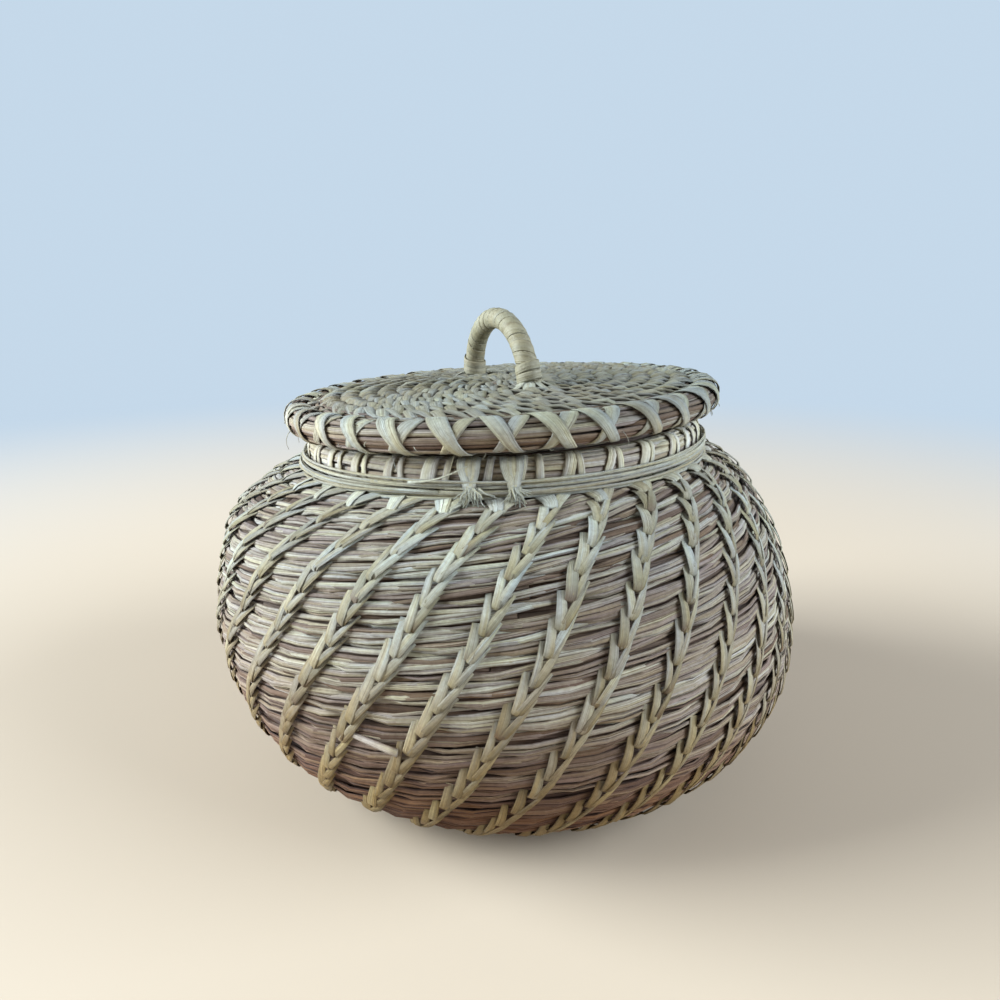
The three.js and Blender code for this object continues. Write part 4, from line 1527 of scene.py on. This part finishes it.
class BASKET_OT_handle(bpy.types.Operator):
    """Bends the handle, wraps it and ties its feet to the lid"""

    bl_idname = "basket.handle"
    bl_label = "Handle"

    def execute(self, context):
        arch = Arch()
        self.make_core(arch)
        self.make_wrap(arch)
        self.make_lashing(arch, "handle_lashing_back", 0)
        self.make_lashing(arch, "handle_lashing_front", 1)
        return {"FINISHED"}

    def make_core(self, arch):
        """The bundle inside the wrapping."""
        strands = Strands(SEEDS["handle_core"], sides=HANDLE_SIDES, place=lid_place)
        place, out = arch.station(np.linspace(0, arch.length, HANDLE_CORE_RINGS)[None, :])
        radius = lid_sizes().handle_core
        strands.add(place, out, radius, radius, np.full(1, HANDLE_CORE_TONE))
        finish_piece(strands, "bent_handle_core", LID, "handle_grass", handle_material(), "handle_core")

    def make_wrap(self, arch):
        """The strip wound round and round, each turn lapping the one before."""
        sizes = lid_sizes()
        strands = Strands(SEEDS["handle_wrap"], place=lid_place, flatness=STRIP_FLATNESS)
        random = strands.random
        turns = arch.length / (sizes.wrap_pitch * WRAP_STARTS)
        rings = int(turns * WRAP_RINGS)
        share = np.linspace(0, 1, rings)[None, :]
        tip = FULL_TURN * (turns * share + np.arange(WRAP_STARTS)[:, None] / WRAP_STARTS)
        distance = arch.length * share + wander(random, (1, rings), WRAP_SLIP, WRAP_SLIP_WAVES)
        off = sizes.handle_core + wander(random, tip.shape, WRAP_RELIEF, WRAP_RELIEF_WAVES)
        path, lift = arch.around(np.clip(distance, 0, arch.length), tip, off)
        stretch = 1 + sizes.handle_core / sizes.handle_rise * np.cos(tip)
        width = WRAP_LAP * sizes.wrap_pitch * stretch
        width = width + wander(random, tip.shape, WRAP_UNEVEN, WRAP_UNEVEN_WAVES)
        strands.add(path, lift, width, WRAP_HALF_DEPTH, random.uniform(*WRAP_TONES, WRAP_STARTS))
        finish_piece(strands, "wound_handle_wrap", LID, "handle_grass", handle_material(), "handle_wrap")

    def make_lashing(self, arch, node, end):
        """The strips that tie one foot."""
        strands = Strands(SEEDS["lashing"] + end, place=lid_place, flatness=STRIP_FLATNESS)
        self.wind_foot(strands, arch, end)
        self.spread_strips(strands, arch, end)
        finish_piece(strands, "tied_" + node, LID, "handle_grass", handle_material(), node)

    def wind_foot(self, strands, arch, end):
        """Turns round one foot."""
        share = np.linspace(0, 1, LASH_RINGS)
        near = LASH_FROM + LASH_REACH * share
        distance = arch.length - near if end else near
        path, lift = arch.around(distance, FULL_TURN * LASH_TURNS * share, lid_sizes().handle_core + LASH_OFF)
        strands.add(path[None], lift[None], LASH_HALF_WIDTH, LASH_HALF_DEPTH, np.full(1, LASH_TONE))

    def spread_strips(self, strands, arch, end):
        """Strips that fan out from one foot over the lid."""
        random = strands.random
        many = SPRAY_STRIPS
        foot, _ = arch.station(np.array([arch.length if end else 0.0]))
        share = np.linspace(0, 1, SPRAY_RINGS)[None, :]
        side = 0.0 if end else math.pi
        turn = side + np.linspace(-SPRAY_ANGLE, SPRAY_ANGLE, many)[:, None]
        turn = turn + jitter(random, many, SPRAY_UNEVEN)
        reach = SPRAY_START + between(random, many, SPRAY_LENGTH) * share
        height = lid_sizes().disc_top + SPRAY_RISE * (1 - share) ** 2 + SPRAY_OVER - SPRAY_SINK * share**3
        path = polar(turn, reach, height) + foot * (1, 1, 0)
        lift = polar(turn, SPRAY_LIFT * (1 - share), 1.0)
        width = SPRAY_HALF_WIDTH * (1 - SPRAY_NARROWING * share)
        strands.add(path, lift, width, SPRAY_HALF_DEPTH, random.uniform(*SPRAY_TONES, many))


# Finishes


class Wire:
    """A node's output that can be used in a Python expression."""

    def __init__(self, nodes, socket):
        self.nodes = nodes
        self.socket = socket

    def maths(self, operation, *values):
        """A Math node on these values."""
        return self.nodes.add("ShaderNodeMath", {"operation": operation}, dict(enumerate(values)))

    def __add__(self, other):
        return self.maths("ADD", self, other)

    __radd__ = __add__

    def __mul__(self, other):
        return self.maths("MULTIPLY", self, other)

    __rmul__ = __mul__

    def __sub__(self, other):
        return self.maths("SUBTRACT", self, other)

    def __rsub__(self, other):
        return self.maths("SUBTRACT", other, self)

    def __pow__(self, other):
        return self.maths("POWER", self, other)

    def __abs__(self):
        return self.maths("ABSOLUTE", self)


class Nodes:
    """The node tree of one finish."""

    def __init__(self, tree):
        self.tree = tree
        tree.nodes.clear()

    def add(self, kind, settings=None, sockets=None, output=0):
        """A node of a kind: its settings first, then the values or links of its sockets."""
        node = self.tree.nodes.new(kind)
        for name, value in (settings or {}).items():
            if name == "stops":
                self.set_stops(node.color_ramp, value)
            else:
                setattr(node, name, value)
        for key, value in (sockets or {}).items():
            if isinstance(value, Wire):
                self.tree.links.new(value.socket, node.inputs[key])
            else:
                node.inputs[key].default_value = value
        return Wire(self, node.outputs[output]) if node.outputs else node

    @staticmethod
    def set_stops(ramp, stops):
        """Colour stops of a ramp, as (place, colour)."""
        while len(ramp.elements) < len(stops):
            ramp.elements.new(1.0)
        for element, (place, shade) in zip(ramp.elements, stops):
            element.position = place
            element.color = (*shade, 1)

    def vector(self, x, y, z):
        """A vector from three values."""
        return self.add("ShaderNodeCombineXYZ", None, {"X": x, "Y": y, "Z": z})

    def split(self, vector):
        """The three values of a vector."""
        return [self.add("ShaderNodeSeparateXYZ", None, {0: vector}, output=i) for i in range(3)]

    def noise(self, place, scale=1.0, detail=2.0, roughness=0.5):
        """A noise value at a place."""
        sockets = {"Vector": place, "Scale": scale, "Detail": detail, "Roughness": roughness}
        return self.add("ShaderNodeTexNoise", None, sockets)

    def rise(self, value, low, high, most=1.0, smooth=False):
        """Nothing where a value is low, rising to the most where it is high."""
        settings = {"interpolation_type": "SMOOTHSTEP" if smooth else "LINEAR"}
        sockets = {"Value": value, "From Min": low, "From Max": high, "To Max": most}
        return self.add("ShaderNodeMapRange", settings, sockets)

    def mix(self, blend, factor, first, second):
        """Two colours mixed."""
        settings = {"data_type": "RGBA", "blend_type": blend}
        return self.add("ShaderNodeMix", settings, {0: factor, 6: first, 7: second}, output=2)


# Marks that run along a strand: their rate along it, a layer of the noise, its detail and its roughness
MARKS = {
    "fibre": (30, 3.0, 3.0, 0.6),
    "drift": (38, 0.0, 2.0, 0.5),
    "kind": (4, 7.0, 2.0, 0.5),
    "hue": (34, 21.0, 2.0, 0.5),
    "line": (14, 1.0, 1.0, 0.5),
}
DRIFT_LINE = 5.0
KIND_LINE = 9.0
HUE_STREAKS = 0.5
LINE_STREAKS = 2.6
DRIFT_SHARE = 0.5

# Colours of the marks, and the noise values between which each comes in, two with the most they come to
GREYED = (0.255, 0.235, 0.225, 1)
GREY_RANGE = (0.56, 0.72)
WARM_RANGE = (0.38, 0.62)
AGED = (0.83, 0.71, 0.66, 1)
AGE_RANGE = (0.42, 0.68, 0.5)
PATCH_SCALE = 22.0
CRACKED = (0.42, 0.32, 0.25, 1)
CRACK_RANGE = (0.47, 0.33)
# Painted shade at the edges of each strand, where strands meet
EDGE_SHADE = (0.20, 0.11, 0.07, 1)
EDGE_SHARPNESS = 4
SPECKED = (0.72, 0.68, 0.64, 1)
SPECK_RANGE = (0.62, 0.38, 0.5)
SPECK_SCALE = 650.0

# Colours of painted shade near the floor, of painted cool skylight on the upper wall and of fading with
# painted cool skylight on the lid, and between which heights each one comes in
# Painted shade towards the floor, for stems and for strips, with an uneven edge, reaching higher on the left
# side
STEM_FLOOR_SHADE = (0.50, 0.27, 0.15, 1)
STRIP_FLOOR_SHADE = (0.64, 0.48, 0.25, 1)
FLOOR_SHADE_FOOT = 0.040
FLOOR_SHADE_PATCHES = 0.03
FLOOR_SHADE_LEAN = 0.06
# Painted cool skylight on the upper wall, ending near the top of the wall
SKY_TINT = (0.94, 1.02, 1.08, 1)
SKY_TINT_RANGE = (0.055, 0.110)
SKY_TINT_END = (0.116, 0.125)
# Fading with painted cool skylight on the lid
FADE_AND_SKY_TINT = (0.59, 0.65, 0.69, 1)
FADE_AND_SKY_RANGE = (0.138, 0.148)

FIBRE_ROUGHNESS = 0.22
DRIFT_BUMP = 0.4
CRACK_BUMP = 0.5
BUMP_STRENGTH = 0.8
BUMP_DISTANCE = 0.0006
SPECULAR = 0.32

# Looks of the four finishes
STEM_LOOK = {
    "middle": "rosy",
    "streaks": 2.4,
    "cracked": 0.85,
    "rough": 0.58,
    "greyed": 0.6,
    # Painted shade at the strand edges
    "edge_shading": 1.0,
    # How much painted cool skylight and fading the finish takes
    "sky_tint_and_fading": 1.0,
    "hues": ((0.99, 0.97, 1.0, 1), (1.06, 1.01, 0.78, 1)),
    # Colour of the painted shade towards the floor, and the height where it ends
    "floor_shade_colour": STEM_FLOOR_SHADE,
    "floor_shade_top": 0.088,
}
COLLAR_LOOK = {**STEM_LOOK, "streaks": 3.0, "cracked": 0.5, "rough": 0.55, "greyed": 0.15, "edge_shading": 0.5}
STRIP_LOOK = {
    **STEM_LOOK,
    "middle": "yellow",
    "streaks": 6.0,
    "cracked": 0.55,
    "rough": 0.52,
    "greyed": 0.12,
    "edge_shading": 0.4,
    "hues": ((0.95, 1.0, 1.02, 1), (1.06, 1.0, 0.75, 1)),
    # Colour of the painted shade towards the floor on the strips, and the height where it ends
    "floor_shade_colour": STRIP_FLOOR_SHADE,
    "floor_shade_top": 0.114,
}
HANDLE_LOOK = {
    **STEM_LOOK,
    "middle": "yellow",
    "streaks": 3.0,
    "cracked": 0.12,
    "rough": 0.46,
    "greyed": 0.0,
    "edge_shading": 0.1,
    # Less painted cool skylight and fading on the handle
    "sky_tint_and_fading": 0.6,
    "hues": ((0.95, 1.0, 0.93, 1), (1.01, 1.0, 0.84, 1)),
}


def grass_stops(middle):
    """The colours of the grass as a ramp, from shade to bleached, with a middle of its own."""
    colours = bpy.context.scene.grass_colours
    return (
        (0.0, colours.shade),
        (0.22, colours.brown),
        (0.42, getattr(colours, middle)),
        (0.60, colours.straw),
        (0.80, colours.pale),
        (1.0, colours.bleached),
    )


class GrassNodes:
    """The nodes of a dried-grass finish, which read how far along, across and how pale a strand is."""

    def __init__(self, nodes, look):
        self.nodes = nodes
        self.look = look
        strand = nodes.add("ShaderNodeAttribute", {"attribute_name": "strand"}, None, output="Vector")
        self.along, self.across, self.tone = nodes.split(strand)
        self.place = nodes.add("ShaderNodeTexCoord", None, None, output="Object")
        streaks = look["streaks"]
        self.fibre = self.mark("fibre", self.across * streaks)
        self.drift = self.mark("drift", DRIFT_LINE)
        self.patch = nodes.noise(self.place, PATCH_SCALE)
        lines = self.mark("line", self.across * streaks * LINE_STREAKS)
        self.crack = nodes.rise(lines, *CRACK_RANGE, look["cracked"])

    def mark(self, kind, across):
        """Noise drawn out along the strands."""
        rate, layer, detail, roughness = MARKS[kind]
        place = self.nodes.vector(self.along * rate, across, layer)
        return self.nodes.noise(place, detail=detail, roughness=roughness)

    def strand_colour(self):
        """The tone of each strand as a colour, with greyed and with warmer lengths."""
        nodes, look = self.nodes, self.look
        uneven = DRIFT_SHARE * (self.drift - 0.5) + (self.fibre - 0.5)
        shade = self.tone + uneven * self.tone
        stops = grass_stops(look["middle"])
        base = nodes.add("ShaderNodeValToRGB", {"stops": stops}, {"Fac": shade}, output="Color")
        grey = nodes.rise(self.mark("kind", KIND_LINE), *GREY_RANGE, look["greyed"])
        base = nodes.mix("MIX", grey, base, GREYED)
        warmth = nodes.rise(self.mark("hue", self.across * HUE_STREAKS), *WARM_RANGE)
        return nodes.mix("MULTIPLY", 1.0, base, nodes.mix("MIX", warmth, *look["hues"]))

    def marked(self, base):
        """A colour with aged patches, cracks, painted shade at the strand edges, and specks."""
        nodes = self.nodes
        # Painted shade at each strand's edges, where it meets its neighbours
        edge = abs(self.across) ** EDGE_SHARPNESS * self.look["edge_shading"]
        speck = nodes.rise(nodes.noise(self.place, SPECK_SCALE), *SPECK_RANGE)
        base = nodes.mix("MULTIPLY", nodes.rise(self.patch, *AGE_RANGE), base, AGED)
        base = nodes.mix("MULTIPLY", self.crack, base, CRACKED)
        base = nodes.mix("MULTIPLY", edge, base, EDGE_SHADE)
        return nodes.mix("MULTIPLY", speck, base, SPECKED)

    def painted_light_and_fading(self, base):
        """A colour with painted shade near the floor, painted cool skylight on the upper wall, and fading
        with painted cool skylight on the lid.
        """
        nodes, look = self.nodes, self.look
        x, _, z = nodes.split(self.place)
        # Painted shade towards the floor, with an uneven edge, reaching higher on the left
        low = z + FLOOR_SHADE_PATCHES * self.patch + FLOOR_SHADE_LEAN * x
        floor_shade = nodes.rise(low, look["floor_shade_top"], FLOOR_SHADE_FOOT, smooth=True)
        # Painted cool skylight on the upper wall
        sky_tint = nodes.rise(z, *SKY_TINT_RANGE, look["sky_tint_and_fading"], smooth=True) * (1 - nodes.rise(z, *SKY_TINT_END))
        # Fading with painted cool skylight on the lid
        fade_and_sky = nodes.rise(z, *FADE_AND_SKY_RANGE, look["sky_tint_and_fading"], smooth=True)
        base = nodes.mix("MULTIPLY", floor_shade, base, look["floor_shade_colour"])
        base = nodes.mix("MULTIPLY", sky_tint, base, SKY_TINT)
        return nodes.mix("MULTIPLY", fade_and_sky, base, FADE_AND_SKY_TINT)

    def shader(self):
        """The finish as a shader, with its roughness and relief."""
        relief = self.fibre + DRIFT_BUMP * self.drift - CRACK_BUMP * self.crack
        sockets = {"Strength": BUMP_STRENGTH, "Distance": BUMP_DISTANCE, "Height": relief}
        return self.nodes.add("ShaderNodeBsdfPrincipled", None, {
            "Base Color": self.painted_light_and_fading(self.marked(self.strand_colour())),
            "Roughness": self.look["rough"] + FIBRE_ROUGHNESS * self.fibre,
            "Normal": self.nodes.add("ShaderNodeBump", None, sockets),
            "Specular IOR Level": SPECULAR,
        })


def grass_finish(name, look):
    """Dried grass of one look, made once."""
    material = bpy.data.materials.get(name)
    if material:
        return material
    material = bpy.data.materials.new(name)
    material.use_nodes = True
    nodes = Nodes(material.node_tree)
    nodes.add("ShaderNodeOutputMaterial", None, {"Surface": GrassNodes(nodes, look).shader()})
    return material


def stem_material():
    """Whole dried stems, matt and streaked."""
    return grass_finish("dried_stems", STEM_LOOK)


def strip_material():
    """Split strips, paler, with many fine fibres."""
    return grass_finish("split_strips", STRIP_LOOK)


def collar_material():
    """The neck bundle's stems and strips."""
    return grass_finish("neck_grass", COLLAR_LOOK)


def handle_material():
    """The smooth cream strip of the handle."""
    return grass_finish("handle_strip", HANDLE_LOOK)


# Stage

FLOOR_RADIUS = 30.0
FLOOR_SEGMENTS = 96
FLOOR_DROP = 0.2 * MM
FLOOR_FADE = (0.25, 1.1)
MOTTLE_SCALE = 9.0
MOTTLE_DETAIL = 4.0
MOTTLE_SHARE = 0.12
MOTTLED = (0.90, 0.88, 0.85, 1)
FLOOR_ROUGHNESS = 0.6
MOTTLE_ROUGHNESS = 0.1
EVEN_LIGHT = (1.0, 0.91, 0.83, 1)
LAMP_AIM = (0, 0, 0.08)
LAMPS = (
    {
        "name": "key",
        "power": "key_power",
        "place": (-3.52, -0.05, 1.52),
        "size": 2.4,
        "tint": (0.86, 0.97, 1.04),
    },
    {
        "name": "fill",
        "power": "fill_power",
        "place": (3.20, -0.72, 1.44),
        "size": 2.6,
        "tint": (0.85, 0.98, 1.10),
    },
)
NEAREST_SEEN = 0.01


def background_seen(nodes):
    """One for the rays that see the backdrop: from the camera, off a gloss or through glass."""
    kinds = ("Is Camera Ray", "Is Glossy Ray", "Is Transmission Ray")
    camera, glossy, through = [nodes.add("ShaderNodeLightPath", None, None, output=kind) for kind in kinds]
    return camera.maths("MINIMUM", camera + glossy + through, 1.0)


def floor_material():
    """A plain pale studio floor with a faint mottle, which fades into the backdrop."""
    colours = bpy.context.scene.grass_colours
    material = bpy.data.materials.new("studio_floor")
    material.use_nodes = True
    nodes = Nodes(material.node_tree)
    place = nodes.add("ShaderNodeTexCoord", None, None, output="Object")
    mottle = nodes.noise(place, MOTTLE_SCALE, MOTTLE_DETAIL)
    near = nodes.add("ShaderNodeBsdfPrincipled", None, {
        "Base Color": nodes.mix("MULTIPLY", mottle * MOTTLE_SHARE, (*colours.floor, 1), MOTTLED),
        "Roughness": FLOOR_ROUGHNESS + MOTTLE_ROUGHNESS * mottle,
    })
    far = nodes.add("ShaderNodeEmission", None, {"Color": (*colours.backdrop, 1), "Strength": 1.0})
    distance = nodes.add("ShaderNodeVectorMath", {"operation": "LENGTH"}, {0: place}, output="Value")
    fade = nodes.rise(distance, *FLOOR_FADE, smooth=True) * background_seen(nodes)
    shader = nodes.add("ShaderNodeMixShader", None, {0: fade, 1: near, 2: far})
    nodes.add("ShaderNodeOutputMaterial", None, {"Surface": shader})
    return material


class BASKET_OT_stage(bpy.types.Operator):
    """Lays the floor, hangs the lamps and sets the camera"""

    bl_idname = "basket.stage"
    bl_label = "Stage"

    def execute(self, context):
        self.lay_floor(context)
        self.hang_lamps(context)
        self.set_sky(context)
        self.set_camera(context)
        context.scene.view_settings.view_transform = "Standard"
        return {"FINISHED"}

    def lay_floor(self, context):
        """One wide round floor."""
        bm = bmesh.new()
        bmesh.ops.create_circle(bm, cap_ends=True, segments=FLOOR_SEGMENTS, radius=FLOOR_RADIUS)
        bmesh.ops.translate(bm, verts=bm.verts, vec=(0, 0, -FLOOR_DROP))
        mesh = bpy.data.meshes.new("studio_floor")
        bm.to_mesh(mesh)
        bm.free()
        floor = bpy.data.objects.new("studio_floor", mesh)
        mesh.materials.append(floor_material())
        context.scene.collection.objects.link(floor)

    def hang_lamps(self, context):
        """A broad key from the front left and a weak fill from the right."""
        for settings in LAMPS:
            lamp = bpy.data.lights.new(settings["name"], "AREA")
            lamp.size = settings["size"]
            lamp.energy = getattr(context.scene.grass_stage, settings["power"])
            lamp.color = settings["tint"]
            holder = bpy.data.objects.new(settings["name"], lamp)
            aim = Vector(LAMP_AIM) - Vector(settings["place"])
            turn = aim.to_track_quat("-Z", "Y").to_matrix().to_4x4()
            holder.matrix_world = Matrix.Translation(settings["place"]) @ turn
            context.scene.collection.objects.link(holder)

    def set_sky(self, context):
        """Even light all round, and a pale backdrop where the camera looks past the floor."""
        scene = context.scene
        world = bpy.data.worlds.new("studio")
        world.use_nodes = True
        nodes = Nodes(world.node_tree)
        even = nodes.add("ShaderNodeBackground", None, {0: EVEN_LIGHT, 1: scene.grass_stage.sky})
        back = nodes.add("ShaderNodeBackground", None, {0: (*scene.grass_colours.backdrop, 1), 1: 1.0})
        sky = nodes.add("ShaderNodeMixShader", None, {0: background_seen(nodes), 1: even, 2: back})
        nodes.add("ShaderNodeOutputWorld", None, {"Surface": sky})
        scene.world = world

    def set_camera(self, context):
        """The camera where the photograph was taken from."""
        stage = context.scene.grass_stage
        lens = bpy.data.cameras.new("camera")
        lens.lens = stage.lens
        lens.clip_start = NEAREST_SEEN
        holder = bpy.data.objects.new("camera", lens)
        ahead = Vector((0, math.cos(stage.pitch), -math.sin(stage.pitch)))
        level = Vector((1, 0, 0))
        above = level.cross(ahead)
        right = math.cos(stage.roll) * level + math.sin(stage.roll) * above
        up = math.cos(stage.roll) * above - math.sin(stage.roll) * level
        turn = Matrix((right, up, -ahead)).transposed().to_4x4()
        eye = Vector((stage.eye_side, -stage.eye_distance, stage.eye_height))
        holder.matrix_world = Matrix.Translation(eye) @ turn
        context.scene.collection.objects.link(holder)
        context.scene.camera = holder


# Add-on

GROUPS = {
    "grass_basket": BasketSizes,
    "grass_lid": LidSizes,
    "grass_colours": GrassColours,
    "grass_stage": StageSettings,
}
OPERATORS = (
    BASKET_OT_base,
    BASKET_OT_wall,
    BASKET_OT_stitch_rows,
    BASKET_OT_neck_collar,
    BASKET_OT_hoop,
    BASKET_OT_lid_disc,
    BASKET_OT_lid_rim,
    BASKET_OT_lid_lacing,
    BASKET_OT_locating_ring,
    BASKET_OT_lid_stitches,
    BASKET_OT_handle,
    BASKET_OT_stage,
)


class BASKET_PT_panel(bpy.types.Panel):
    """The basket's pieces, in the order they are made"""

    bl_label = "Basket"
    bl_idname = "BASKET_PT_panel"
    bl_space_type = "VIEW_3D"
    bl_region_type = "UI"
    bl_category = "Basket"

    def draw(self, context):
        for operator in OPERATORS:
            self.layout.operator(operator.bl_idname)
        for name in GROUPS:
            box = self.layout.box()
            for field in GROUPS[name].__annotations__:
                box.prop(getattr(context.scene, name), field)


def register():
    """Registers the settings, the operators and the panel."""
    for name, group in GROUPS.items():
        bpy.utils.register_class(group)
        setattr(bpy.types.Scene, name, bpy.props.PointerProperty(type=group))
    for operator in OPERATORS:
        bpy.utils.register_class(operator)
    bpy.utils.register_class(BASKET_PT_panel)


def unregister():
    """Takes them off again."""
    bpy.utils.unregister_class(BASKET_PT_panel)
    for operator in reversed(OPERATORS):
        bpy.utils.unregister_class(operator)
    for name, group in GROUPS.items():
        delattr(bpy.types.Scene, name)
        bpy.utils.unregister_class(group)


def main():
    """Builds the basket piece by piece."""
    register()
    bpy.ops.basket.base()
    bpy.ops.basket.wall()
    bpy.ops.basket.stitch_rows()
    bpy.ops.basket.neck_collar()
    bpy.ops.basket.hoop()
    bpy.ops.basket.lid_disc()
    bpy.ops.basket.lid_rim()
    bpy.ops.basket.lid_lacing()
    bpy.ops.basket.locating_ring()
    bpy.ops.basket.lid_stitches()
    bpy.ops.basket.handle()
    bpy.ops.basket.stage()


if __name__ == "__main__":
    main()
